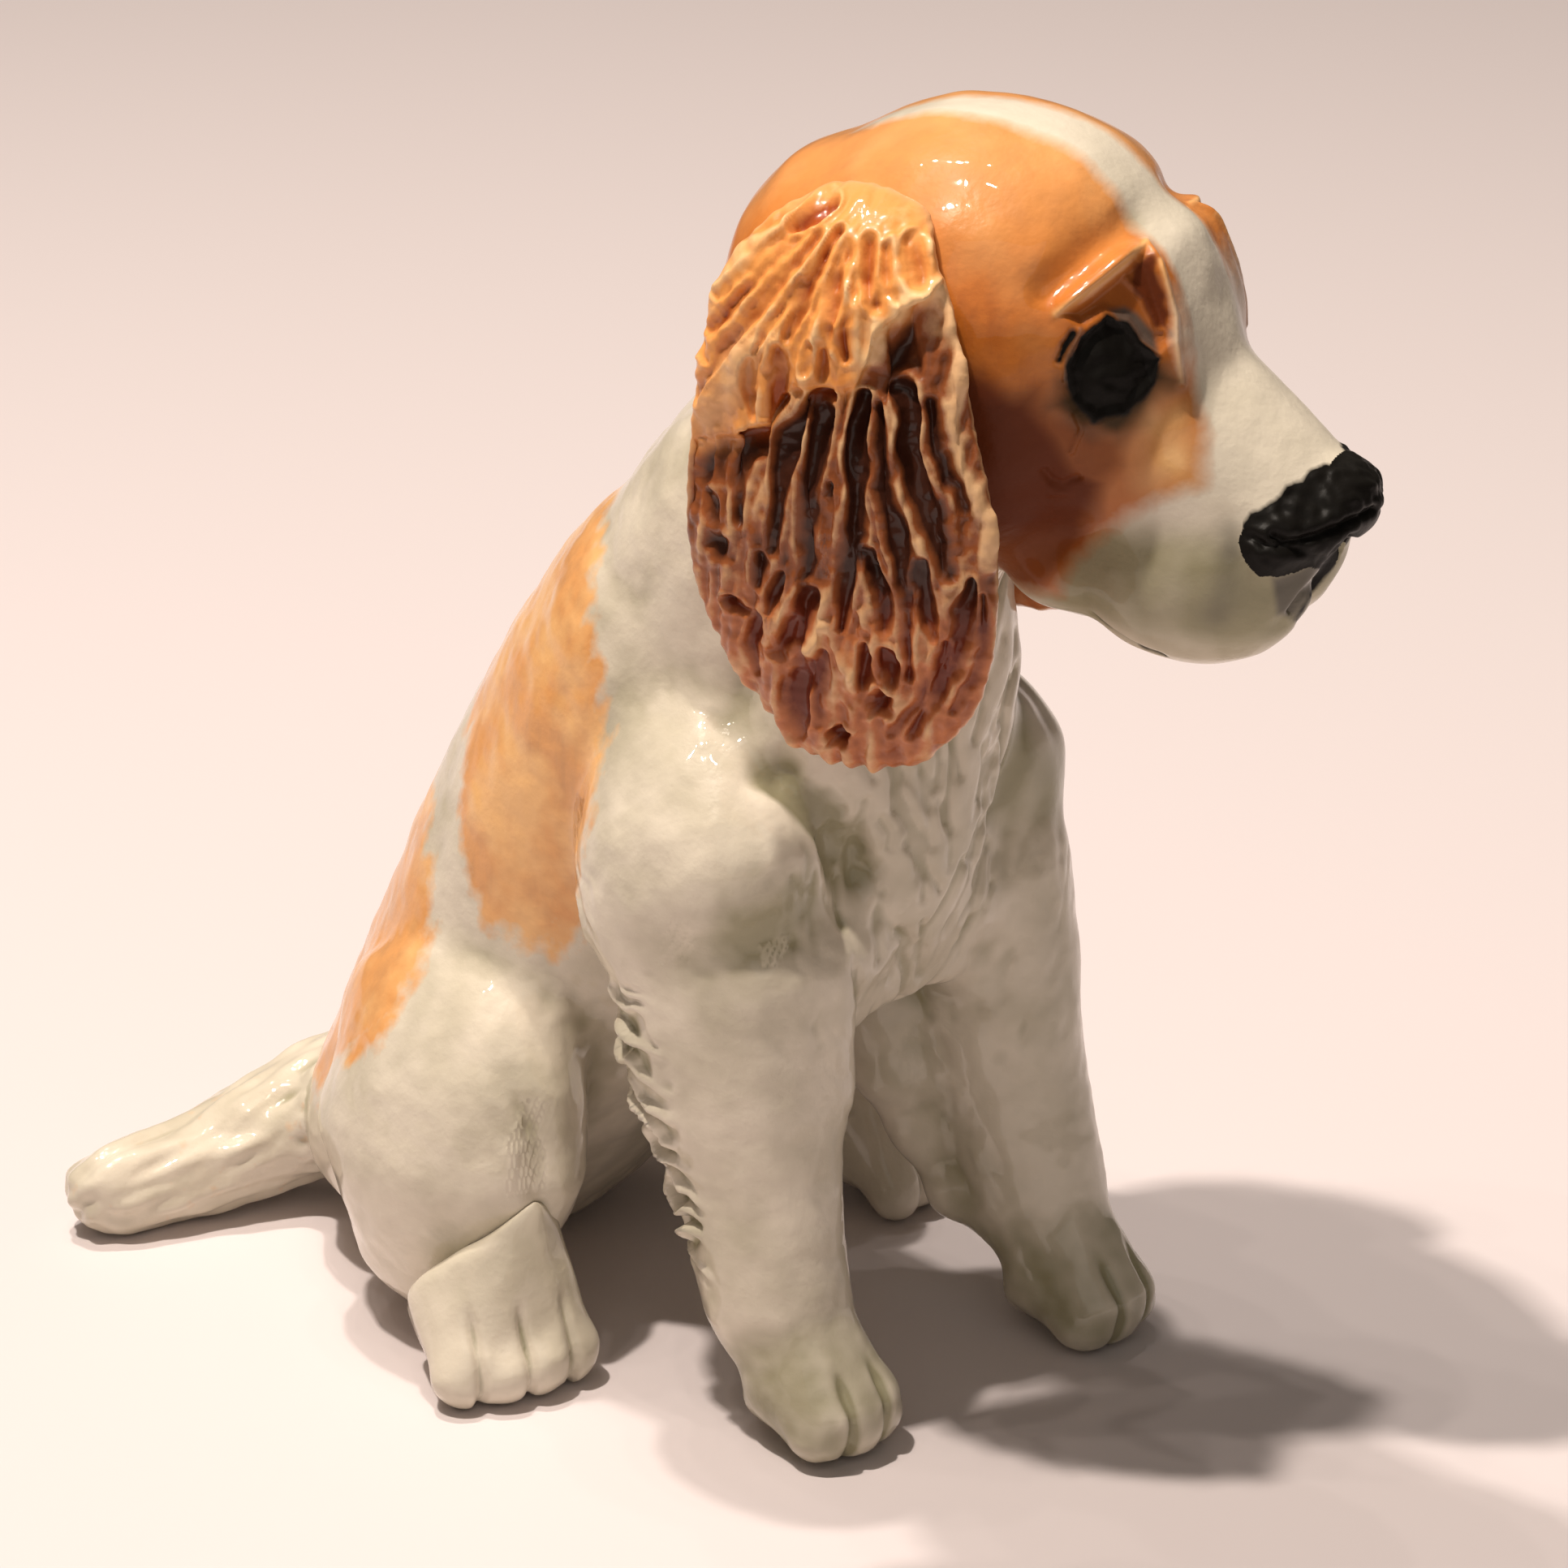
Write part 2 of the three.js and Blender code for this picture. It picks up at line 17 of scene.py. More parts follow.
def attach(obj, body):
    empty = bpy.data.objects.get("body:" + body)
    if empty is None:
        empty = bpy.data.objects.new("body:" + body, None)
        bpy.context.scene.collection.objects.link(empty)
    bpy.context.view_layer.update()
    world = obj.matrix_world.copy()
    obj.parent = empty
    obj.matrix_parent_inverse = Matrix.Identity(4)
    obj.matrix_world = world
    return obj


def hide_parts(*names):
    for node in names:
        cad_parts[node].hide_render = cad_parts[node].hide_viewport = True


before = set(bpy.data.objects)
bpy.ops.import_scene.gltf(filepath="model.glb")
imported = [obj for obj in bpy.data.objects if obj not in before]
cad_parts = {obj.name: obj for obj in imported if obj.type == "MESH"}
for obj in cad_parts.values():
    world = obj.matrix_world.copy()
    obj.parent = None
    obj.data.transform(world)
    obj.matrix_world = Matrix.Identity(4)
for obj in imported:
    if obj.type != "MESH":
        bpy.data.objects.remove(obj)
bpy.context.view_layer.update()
bpy.ops.object.select_all(action="DESELECT")
MM = 0.001
SIDES = {"right": -1, "left": 1}
print("CAD nodes:", len(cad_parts))

# %% [markdown]
# ## Small tools
# Sculpting by hand moves many points a little, with a brush that needs a window. In code the same is done
# on arrays: the points of a mesh are read in millimetres, moved along their normals by a formula, and
# written back.


# %% Tools for points and attributes
def pick(*objects):
    bpy.ops.object.select_all(action="DESELECT")
    for item in objects:
        item.select_set(True)
    bpy.context.view_layer.objects.active = objects[0]


def points_of(piece):
    flat = np.empty(3 * len(piece.data.vertices), np.float32)
    piece.data.vertices.foreach_get("co", flat)
    return flat.reshape(-1, 3).astype(float) / MM


def normals_of(piece):
    flat = np.empty(3 * len(piece.data.vertices), np.float32)
    piece.data.vertices.foreach_get("normal", flat)
    return flat.reshape(-1, 3).astype(float)


def move_to(piece, points):
    piece.data.vertices.foreach_set("co", (points * MM).astype(np.float32).ravel())
    piece.data.update()


def push(piece, amount):
    move_to(piece, points_of(piece) + amount[:, None] * normals_of(piece))


def note(piece, name, values):
    layer = piece.data.attributes.get(name) or piece.data.attributes.new(name, "FLOAT", "POINT")
    layer.data.foreach_set("value", values.astype(np.float32))


print("Points of the skull node:", len(points_of(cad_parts["skull"])))


# %% Tools for noise, lines and outlines
def bumps(points, size, seed=0.0):
    """Smooth noise from -1 to 1 whose lumps are about size millimetres across."""
    return np.array([noise.noise(p) for p in (points / size + seed).tolist()])


def ramp(values, low, high):
    share = np.clip((values - low) / (high - low), 0, 1)
    return share * share * (3 - 2 * share)


def near_path(points, path):
    """Distance from each point to a line through the path's points, and its place along the line."""
    nearest = np.full(len(points), np.inf)
    share = np.zeros(len(points))
    for k, (start, end) in enumerate(zip(np.array(path[:-1], float), np.array(path[1:], float))):
        run = end - start
        along = np.clip((points - start) @ run / (run @ run), 0, 1)
        away = np.linalg.norm(points - start - along[:, None] * run, axis=1)
        share = np.where(away < nearest, (k + along) / (len(path) - 1), share)
        nearest = np.minimum(nearest, away)
    return nearest, share


def from_path(points, path):
    return near_path(points, path)[0]


def stroke(points, path, width):
    """1 on a line through the path's points, falling to almost nothing two widths away."""
    return np.exp(-((from_path(points, path) / width) ** 2))


def inside(flat, outline):
    """Distance inside a closed outline, for points in its plane; less than 0 outside."""
    corners = np.array(outline, float)
    within = np.zeros(len(flat), bool)
    for (ax, ay), (bx, by) in zip(corners, np.roll(corners, -1, axis=0)):
        crosses = (ay > flat[:, 1]) != (by > flat[:, 1])
        rise = by - ay if by != ay else 1.0
        within ^= crosses & (flat[:, 0] < ax + (flat[:, 1] - ay) * (bx - ax) / rise)
    return np.where(within, 1, -1) * from_path(flat, list(outline) + [outline[0]])


print("Stroke one width away:", stroke(np.array([[0, 1]]), [(-1, 0), (1, 0)], 1).round(2))

# %% [markdown]
# ## Frames of the head and the trunk
# The head is turned to the dog's left and the trunk leans forward. Tool marks and coat patches are placed
# in coordinates that follow them, so that a left mark is the mirror of a right one. Head coordinates start
# in the middle of the skull with the face along -Y. Trunk coordinates run along the trunk from the rump,
# and towards the back.

# %% Head and trunk coordinates
HEAD_AT = np.array([1, -70, 128])
HEAD_TURN = math.radians(20)
RUMP = np.array([0, 2.5, 17])
WITHERS = np.array([0, -38, 86])
head_axes = np.array([
    [math.cos(HEAD_TURN), math.sin(HEAD_TURN), 0],
    [-math.sin(HEAD_TURN), math.cos(HEAD_TURN), 0],
    [0, 0, 1],
])
trunk_along = (WITHERS - RUMP) / np.linalg.norm(WITHERS - RUMP)
trunk_back = np.array([0, trunk_along[2], -trunk_along[1]])


def in_head(points):
    return (points - HEAD_AT) @ head_axes.T


def on_trunk(points):
    return np.stack([(points - RUMP) @ trunk_along, (points - RUMP) @ trunk_back], axis=1)


print("Trunk leans", round(math.degrees(math.asin(trunk_along[2]))), "degrees from the table")

# %% [markdown]
# ## The skin
# A potter fills each joint with slip until the lumps run into each other. A boolean union would leave the
# joints sharp, so a copy of every lump is swollen a little, and the copies are joined and remeshed with
# small voxels. Balls of slip fill the corners between the bib and the legs. The skin is then swollen far
# more, remeshed and shrunk by as much, which leaves every joint filled. Ears and hind feet sit on the skin
# as pieces of their own.

# %% Tools for lumps
APART = [f"{side}_{name}" for side in SIDES for name in ("ear", "hind_foot")]
SKIN_NODES = [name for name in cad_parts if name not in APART]
MERGE_WITHIN = 0.01


def swell(piece, amount):
    pick(piece)
    fatten = piece.modifiers.new("Swell", "DISPLACE")
    fatten.strength = amount * MM
    fatten.mid_level = 0
    bpy.ops.object.modifier_apply(modifier=fatten.name)


def lump(name, amount):
    piece = bpy.data.objects.new(f"{name}_lump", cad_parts[name].data.copy())
    piece.data.materials.clear()
    bpy.context.collection.objects.link(piece)
    pick(piece)
    bpy.ops.object.mode_set(mode="EDIT")
    bpy.ops.mesh.select_all(action="SELECT")
    bpy.ops.mesh.remove_doubles(threshold=MERGE_WITHIN * MM)
    bpy.ops.object.mode_set(mode="OBJECT")
    swell(piece, amount)
    return piece


def remesh(piece, voxel):
    pick(piece)
    piece.data.remesh_voxel_size = voxel * MM
    bpy.ops.object.voxel_remesh()


def soften(piece, rounds, weights=None):
    pick(piece)
    smooth = piece.modifiers.new("Soften", "SMOOTH")
    smooth.iterations = rounds
    if weights is not None:
        group = piece.vertex_groups.new(name="soft")
        for step in np.unique(np.round(weights, 1)):
            group.add(np.flatnonzero(np.round(weights, 1) == step).tolist(), step, "REPLACE")
        smooth.vertex_group = group.name
    bpy.ops.object.modifier_apply(modifier=smooth.name)
    piece.vertex_groups.clear()


print("Lumps in the skin:", len(SKIN_NODES), "apart:", len(APART))

# %% One skin
LUMP_SWELL = 0.3
SKIN_VOXEL = 0.4
SLIP_FILL = 2.6
SLIP_ROUNDS = 4
SLIP_BALLS = [(9, -59.5, 56, 6.5), (7.5, -59, 50, 5), (11, -47, 46, 7.5), (12, -48, 39, 7),
              (13.5, -49.5, 31, 6.5), (15.5, -52, 23, 5.5), (17, -56, 16, 5)]
lumps = [lump(name, LUMP_SWELL) for name in SKIN_NODES]
for x, y, z, radius in SLIP_BALLS:
    for sign in SIDES.values():
        spot = [sign * x * MM, y * MM, z * MM]
        bpy.ops.mesh.primitive_uv_sphere_add(radius=radius * MM, location=spot)
        lumps.append(bpy.context.active_object)
pick(*lumps)
bpy.ops.object.join()
skin = bpy.context.view_layer.objects.active
skin.name = "skin"
remesh(skin, SKIN_VOXEL)
for amount in (SLIP_FILL, -SLIP_FILL):
    soften(skin, SLIP_ROUNDS)
    swell(skin, amount)
    remesh(skin, SKIN_VOXEL)
print("Skin:", len(skin.data.vertices), "points")

# %% [markdown]
# ## Joints
# Every point of the skin remembers the lump it lies nearest to, found with a search tree over the CAD
# faces. A vote among neighbours removes stray points, so that the joints are clean lines.

# %% Which lump each point of the skin belongs to
OWN_VOTE = 0.5
VOTES = 8
corners = []
triangles = []
owners = []
for index, name in enumerate(SKIN_NODES):
    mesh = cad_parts[name].data
    start = len(corners)
    corners += [vertex.co.copy() for vertex in mesh.vertices]
    triangles += [[start + k for k in face.vertices] for face in mesh.polygons]
    owners += [index] * len(mesh.polygons)
surface = BVHTree.FromPolygons(corners, triangles)


def edges_of(piece):
    ends = np.empty(2 * len(piece.data.edges), np.int32)
    piece.data.edges.foreach_get("vertices", ends)
    return ends.reshape(-1, 2).T


def around(values, first, second):
    """Sum of the values at each point's neighbours."""
    count = len(values)
    return np.bincount(first, values[second], count) + np.bincount(second, values[first], count)


def owners_of(piece):
    nearest = np.array([owners[surface.find_nearest(vertex.co)[2]] for vertex in piece.data.vertices])
    edges = edges_of(piece)
    for _ in range(VOTES):
        flags = [(nearest == k).astype(float) for k in range(len(SKIN_NODES))]
        nearest = np.argmax([around(flag, *edges) + OWN_VOTE * flag for flag in flags], axis=0)
    return nearest


def belongs(*names):
    return np.isin(owner, [SKIN_NODES.index(name) for name in names])


owner = owners_of(skin)
print("Points of the torso:", int(belongs("torso").sum()))

# %% [markdown]
# Slip is wiped smooth with a wet finger. Smooth modifiers do the same. Vertex groups hold them back at the
# lips, the eyes and the nose, which stay crisp, and melt the creases of cheeks and shoulders and the ground
# of the eye sockets further.

# %% Smooth joints
EYE_AT = np.array([-12.4, -18.1, 1.4])
SOCKET_REACH = 10
CHEEK_WIDTH = 5
CHEEK_CREASE = [(-10.5, -13, -25), (-11, -16, -21.5), (-11.8, -19.5, -18), (-13, -23, -14.5),
                (-13.5, -27, -12)]
SHOULDER_WIDTH = 6
SHOULDER_CREASES = [
    [(-33, -48, 57), (-30, -56, 57.5), (-24, -62, 60)],
    [(-33, -45, 76), (-28, -48, 84), (-20, -58, 84)],
    [(-35, -40, 66), (-32, -40, 58)],
    [(-30, -58, 60), (-21, -66, 60.5), (-12, -66, 61)],
]
WIPE_ROUNDS = 20
SOFT_ROUNDS = 110
MELT_ROUNDS = 120
LIP_SOFTNESS = 0.4
NOSE_SOFTNESS = 0.1


def mirrored(points):
    return np.column_stack([-np.abs(points[:, 0]), points[:, 1:]])


soften(skin, WIPE_ROUNDS)
weights = np.ones(len(skin.data.vertices))
weights[belongs("right_flew", "left_flew", "jaw", "right_eye", "left_eye")] = LIP_SOFTNESS
weights[belongs("nose")] = NOSE_SOFTNESS
soften(skin, SOFT_ROUNDS, weights)
body = mirrored(points_of(skin))
face = mirrored(in_head(points_of(skin)))
melt = np.exp(-((np.linalg.norm(face - EYE_AT, axis=1) / SOCKET_REACH) ** 4))
melt += stroke(face, CHEEK_CREASE, CHEEK_WIDTH)
melt += sum(stroke(body, line, SHOULDER_WIDTH) for line in SHOULDER_CREASES)
soften(skin, MELT_ROUNDS, np.clip(melt, 0, 1) * ~belongs("nose"))
print("Skin height:", round(points_of(skin)[:, 2].max(), 1), "mm")

# %% [markdown]
# The eyes and the nose carry the finest tool marks and need closer points than the rest. Smaller voxels
# all over would be slow, so the skin is subdivided once there.

# %% Finer points on the face
EYE_REACH = 15
NOSE_FROM = -32
NOSE_HEIGHT = -18
NOSE_REACH = 13
face = mirrored(in_head(points_of(skin)))
near_eye = np.linalg.norm(face - EYE_AT, axis=1) < EYE_REACH
near_nose = (face[:, 1] < NOSE_FROM) & (np.abs(face[:, 2] - NOSE_HEIGHT) < NOSE_REACH)
quads = np.empty(4 * len(skin.data.polygons), np.int32)
skin.data.polygons.foreach_get("vertices", quads)
chosen = (near_eye | near_nose)[quads.reshape(-1, 4)].all(axis=1)
pick(skin)
bpy.ops.object.mode_set(mode="EDIT")
bpy.ops.mesh.select_mode(type="FACE")
bpy.ops.mesh.select_all(action="DESELECT")
bpy.ops.object.mode_set(mode="OBJECT")
skin.data.polygons.foreach_set("select", chosen)
bpy.ops.object.mode_set(mode="EDIT")
bpy.ops.mesh.subdivide(number_cuts=1)
bpy.ops.object.mode_set(mode="OBJECT")
soften(skin, 1)
owner = owners_of(skin)
print("Skin:", len(skin.data.vertices), "points,", int(chosen.sum()), "faces made finer")

# %% [markdown]
# ## Hand-made unevenness
# Fingers and tools leave the clay a little uneven everywhere. Bump in the material would not change the
# outline, so the points are moved. Three sizes of noise stand for thumbs, fingertips and tools. The face
# is smoother than the rest.

# %% Uneven clay
HEAD_NODES = ("skull", "muzzle", "jaw", "right_flew", "left_flew", "right_eyelid", "left_eyelid", "nose",
              "right_eye", "left_eye")
HEAD_CALM = 0.35
UNEVEN = {"thumb": (0.45, 13, 3.1), "fingertip": (0.22, 5, 8.7), "tool": (0.09, 1.9, 1.3)}
on_head = belongs(*HEAD_NODES)
place = points_of(skin)
uneven = sum(height * bumps(place, size, seed) for height, size, seed in UNEVEN.values())
push(skin, np.where(on_head, HEAD_CALM, 1.0) * uneven)
print("Uneven by", round(uneven.min(), 2), "to", round(uneven.max(), 2), "mm")

# %% [markdown]
# ## Modelling the face
# The face is drawn with a few strokes of a tool, each a line with a height and a width. Most are drawn as
# one sees the near side of the face, in a plane whose middle is the middle of the eye, and mirrored to the
# far side. The lid is a straight ridge that falls off sharply to a flat facet over the eye. Nose and eye
# are rough, because thick glaze was dabbed on them.

# %% Lines and outlines of the face
DRAWING = np.array([[0.375, 0.347, -0.86], [-0.927, 0.141, -0.347], [0, 0.927, 0.375]])
LID = [(-4.4, 4.9), (-0.8, 7.3), (2.5, 10), (5.3, 12.9)]
SOCKET_FRONT = [(5.3, 12.9), (6.6, 10.7), (7.5, 7.7), (8.3, 4.9), (8.3, 2.3), (8.9, -1.8)]
FACET = LID + SOCKET_FRONT[1:5] + [(6.6, 0.5), (4.3, 1.9), (2.9, 4), (1, 4.6), (-1.8, 3)]
EYE_BLACK = [(-2.9, -0.5), (-1.8, 2.3), (1, 4.6), (2.9, 4), (4.3, 1.9), (6.6, 0.5), (5.9, -1.8),
             (3.1, -4.9), (-0.2, -5.8), (-2.5, -3.7)]
REAR_RIM = [(-1.8, 3.3), (-3.2, 0.5), (-3.4, -1.8)]
REAR_DENT = [(-2.6, 2.8), (-3.4, 1.6), (-4, 0.2)]
NOSE_FOLD = [(30, -14.8), (28.1, -15.8), (26, -16.9), (23.4, -17.9), (21.7, -18.4), (20, -18.3),
             (18.6, -17.8)]
NOSE_BLACK = [(15.4, -16.8), (16.2, -15.4), (17.9, -14.7), (19.5, -13.5), (20.1, -12.5), (21.8, -11.9),
              (22.6, -10.9), (24.4, -10), (26.5, -9.9), (33, -9), (33, -15), (29.5, -16.3), (27.2, -18.3),
              (26.2, -20.3), (24.6, -21.6), (22.5, -20.8), (20.3, -21.2), (18.6, -22), (17, -21.3),
              (15.8, -19)]
LIP_LINE = [(27.5, -18), (25.9, -20.1), (24.2, -22.5), (23, -24.2), (21.8, -26.5)]
print("Length of the lid:", round(math.dist(LID[0], LID[-1]), 1), "mm")

# %% Strokes on the face
DRAWN_STROKES = {
    "socket_front": (0.45, 0.45, SOCKET_FRONT),
    "above_lid": (-0.8, 2.0, [(-5.5, 7.4), (-2.2, 10), (1, 12.7), (3.5, 15)]),
    "facet_fold": (0.35, 0.4, [(3.4, 8.6), (5.2, 6.9), (6.9, 3.4)]),
    "rear_rim": (0.35, 0.35, REAR_RIM),
    "rear_dent": (-0.4, 0.5, REAR_DENT),
    "under_rim": (0.3, 0.4, [(-2.2, -5.3), (-1.5, -6.7), (-2.5, -9)]),
    "nose_fold": (-0.9, 0.45, NOSE_FOLD),
    "nostril": (-0.8, 0.6, [(19.6, -18.9), (21.6, -19.3)]),
    "nose_dent": (-0.5, 0.5, [(16.4, -18), (17.7, -18.9), (18.9, -19)]),
}
FACE_STROKES = {
    "nail_mark": (-0.5, 0.5, [(-17.7, -14.5, -8.9), (-16.6, -15, -10.3), (-15.6, -15.7, -10.7),
                              (-15.5, -17.4, -10)]),
    "nail_lip": (0.3, 0.6, [(-16.9, -13.8, -10), (-15.9, -14.8, -11.8), (-14.9, -16.2, -11.8)]),
    "forehead": (-0.9, 5.0, [(0, -26, 7), (-5, -25.5, 9)]),
    "flat_lip": (-1.3, 3.2, [(-9.5, -38.5, -21.5), (-8.8, -39.2, -25)]),
    "stop": (0.8, 4.0, [(0, -27.5, 1), (0, -29, -3)]),
    "mouth": (-0.6, 0.7, [(-9.6, -17.8, -27.6), (-10, -21.4, -29.8), (-9.9, -25, -30.8)]),
}


def pressed(points, strokes):
    """How far all strokes together move each point; every stroke is a height, a width and a line."""
    return sum(height * stroke(points, line, width) for height, width, line in strokes.values())


print("Face strokes:", len(DRAWN_STROKES) + len(FACE_STROKES))

# %% Pressing the strokes in
LID_ABOVE = 1.2
LID_BELOW = 0.4
NEAR_LID = 0.9
FAR_LID = 0.4
FACET_DEPTH = 1.0
EYE_DEPTH = 0.7
LIP_DEPTH = 0.8
LIP_WIDTH = 0.5
LIP_SIDE = 4


def drawn(points):
    """Millimetres right of, above and in front of the eye's middle, for points in head coordinates."""
    return (points - EYE_AT) @ DRAWING


def shown(flat, face):
    """1 on the side of the head that the drawing shows, and 1 on the front of the muzzle."""
    return ramp(flat[:, 2], -9, -6), ramp(-face[:, 1], 33, 36)


def beside(flat, start, end):
    """Distance along and above a straight line, for points in its plane."""
    along = (np.array(end, float) - start) / np.linalg.norm(np.array(end, float) - start)
    away = flat - start
    return away @ along, away @ [-along[1], along[0]]


head = in_head(points_of(skin)[on_head])
face = mirrored(head)
flat = drawn(face)
seen = flat[:, :2]
near, front = shown(flat, face)
along, above = beside(seen, LID[0], LID[-1])
ridge = np.exp(-((above / np.where(above > 0, LID_ABOVE, LID_BELOW)) ** 2))
ridge *= ramp(along, -1.5, 2) * ramp(-along, -13.5, -9) * np.where(head[:, 0] < 0, NEAR_LID, FAR_LID)
dabs = 0.35 * bumps(face, 1.4, 6.4) + 0.3 * bumps(face, 3, 1.1)
smears = 0.35 * bumps(face, 1.6, 2.2) - EYE_DEPTH
shape = near * (pressed(seen, DRAWN_STROKES) + ridge - FACET_DEPTH * ramp(inside(seen, FACET), 0, 1.6))
shape += front * ramp(inside(seen, NOSE_BLACK), 0, 1) * dabs
shape += near * ramp(inside(seen, EYE_BLACK), -0.2, 0.6) * smears
shape += pressed(face, FACE_STROKES)
shape -= LIP_DEPTH * front * (head[:, 0] < LIP_SIDE) * stroke(drawn(head)[:, :2], LIP_LINE, LIP_WIDTH)
carving = np.zeros(len(skin.data.vertices))
carving[on_head] = shape
push(skin, carving)
print("Face: deepest", round(carving.min(), 2), "mm, highest", round(carving.max(), 2), "mm")

# %% [markdown]
# ## Modelling the body
# A recess lies between the bib and each shoulder, the upper arms are full, and the far shoulder is slimmer
# than the near one. These are wide strokes. The bib is scratched with short strokes that run together in a
# V. Each scratch is drawn by chance, from a fixed seed, because an even pattern would look machined.

# %% Strokes on the body
BODY_STROKES = {
    "recess": (-3.0, 3.0, [(-19.4, -60.1, 78.7), (-15, -63, 72), (-11, -65.5, 66)]),
    "recess_edge": (0.7, 1.6, [(-22.5, -60.5, 77), (-18.5, -64, 70), (-15.5, -65.5, 64.5)]),
    "under_shoulder": (-0.4, 3.5, [(-26, -62.5, 62.5), (-20, -65, 64)]),
    "arm_back": (2.0, 7.0, [(-28, -46, 44), (-28, -47, 55)]),
    "arm_front": (1.8, 5.0, [(-15, -64, 42), (-15, -64.5, 55)]),
    "shoulder_swell": (0.8, 5.0, [(-28, -58, 71), (-24, -62, 70)]),
    "haunch_fold": (-1.0, 2.2, [(-33, -30, 40), (-31, -33.5, 30), (-30, -33, 22)]),
}
FAR_SHARE = 0.4
FAR_SHOULDER = [(26, -55, 85), (26, -60, 77), (24, -63.5, 71)]
FAR_SLIMMING = 2.2
FAR_WIDTH = 5.5
carving = pressed(mirrored(place), BODY_STROKES) * np.where(place[:, 0] < 0, 1, FAR_SHARE)
carving -= FAR_SLIMMING * stroke(place, FAR_SHOULDER, FAR_WIDTH)
print("Body strokes:", len(BODY_STROKES) + 1)

# %% Scratches on the bib
SCRATCH_COUNT = 230
SCRATCH_SEED = 7
SCRATCH_LIMIT = 0.9
BIB_HALF = 14
BIB_LOW = 50
FAINT = 0.2
draw = np.random.default_rng(SCRATCH_SEED)
hairy = belongs("chest_fur", "neck", "right_shoulder", "left_shoulder", "right_foreleg", "left_foreleg")
front = place[hairy][:, [0, 2]]
scratches = np.zeros(len(front))
for _ in range(SCRATCH_COUNT):
    x = draw.uniform(-24, 24)
    z = draw.uniform(38, 104)
    reach = draw.uniform(1.2, 4.5)
    lean = (-0.5 * np.sign(x) + draw.uniform(-0.6, 0.6)) * reach
    bend = draw.uniform(-0.8, 0.8)
    line = [(x - lean, z + reach), (x + bend, z), (x + 0.7 * lean, z - reach)]
    weight = FAINT if abs(x) > BIB_HALF or z < BIB_LOW else 1.0
    scratches -= weight * draw.uniform(0.2, 0.75) * stroke(front, line, draw.uniform(0.45, 1.0))
carving[hairy] += np.maximum(scratches, -SCRATCH_LIMIT) * ramp(-normals_of(skin)[hairy][:, 1], 0.1, 0.5)
print("Bib: deepest scratch", round(scratches.min(), 2), "mm")

# %% [markdown]
# The long hair on the back edges of the forelegs was notched with the edge of a tool: a wave along the leg,
# broken up by noise, so that it reads as tufts. Toes are pressed in as lines that spread a little towards
# the front, and the tail is combed along its length.

# %% Feathers on the forelegs
FEATHER_PITCH = 3.3
FEATHER_SLANT = 0.4
OUTWARD = 0.669
BACKWARD = 0.743
for side, sign in SIDES.items():
    leg = belongs(f"{side}_foreleg", f"{side}_shoulder")
    height = place[leg][:, 2]
    edge = ramp(normals_of(skin)[leg] @ [OUTWARD * sign, BACKWARD, 0], 0.72, 0.96)
    across = place[leg] @ [BACKWARD * sign, -OUTWARD, 0]
    waves = (height + FEATHER_SLANT * across) / FEATHER_PITCH + bumps(place[leg], 4, 6.6)
    teeth = np.maximum(np.sin(2 * np.pi * waves), -0.5)
    ragged = (0.9 + 1.1 * bumps(place[leg], 4, 2.9)) * (1 + 0.5 * ramp(-height, -52, -38))
    carving[leg] += edge * ramp(height, 18, 26) * ramp(-height, -72, -40) * ragged * teeth
print("Highest tuft:", round(carving.max(), 2), "mm")

# %% Toes and tail
TOE_LINES = {"front_paw": ((20.5, -69), 4, (-2.3, 2.3)), "hind_foot": ((33, -28), 20, (-5, 0, 5))}
TOE_DEPTH = 0.75
TOE_WIDTH = 0.6
HAIR_HEIGHT = 0.8
FAR_MELT = 7


def press_flat(piece):
    points = points_of(piece)
    points[:, 2] = np.maximum(points[:, 2], 0)
    move_to(piece, points)


def toe_grooves(points, side, kind):
    (out, y), turn, lines = TOE_LINES[kind]
    angle = math.radians(SIDES[side] * turn)
    away = points[:, :2] - [SIDES[side] * out, y]
    across = away @ [math.cos(angle), math.sin(angle)]
    ahead = away @ [math.sin(angle), -math.cos(angle)]
    spread = 1 + 0.02 * ahead
    cuts = sum(np.exp(-(((across - spread * line) / TOE_WIDTH) ** 2)) for line in lines)
    return -TOE_DEPTH * cuts * ramp(ahead, 1, 5) * ramp(-points[:, 2], -13, -9)


for side in SIDES:
    paw = belongs(f"{side}_front_paw")
    carving[paw] += toe_grooves(place[paw], side, "front_paw")
tail = place[belongs("tail")]
axis = np.linalg.svd(tail - tail.mean(axis=0), full_matrices=False)[2][0]
along = (tail @ axis)[:, None] * axis
carving[belongs("tail")] += HAIR_HEIGHT * bumps((tail - along) / 2 + along / 9, 1, 4.4)
push(skin, carving)
soften(skin, 1)
soften(skin, MELT_ROUNDS, np.clip(1.6 * stroke(place, FAR_SHOULDER, FAR_MELT), 0, 1))
press_flat(skin)
print("Body: deepest", round(carving.min(), 2), "mm")

# %% [markdown]
# ## Coat
# The white glaze is laid over everything, and the orange coat is brushed on in patches: a cap over the head
# with a white blaze, a saddle over the back and a patch over the haunches. Each patch is an outline in head
# or trunk coordinates. The distance inside it is kept as an attribute, and not as a finished colour, so
# that the glaze can fray the edge more finely than the points lie.

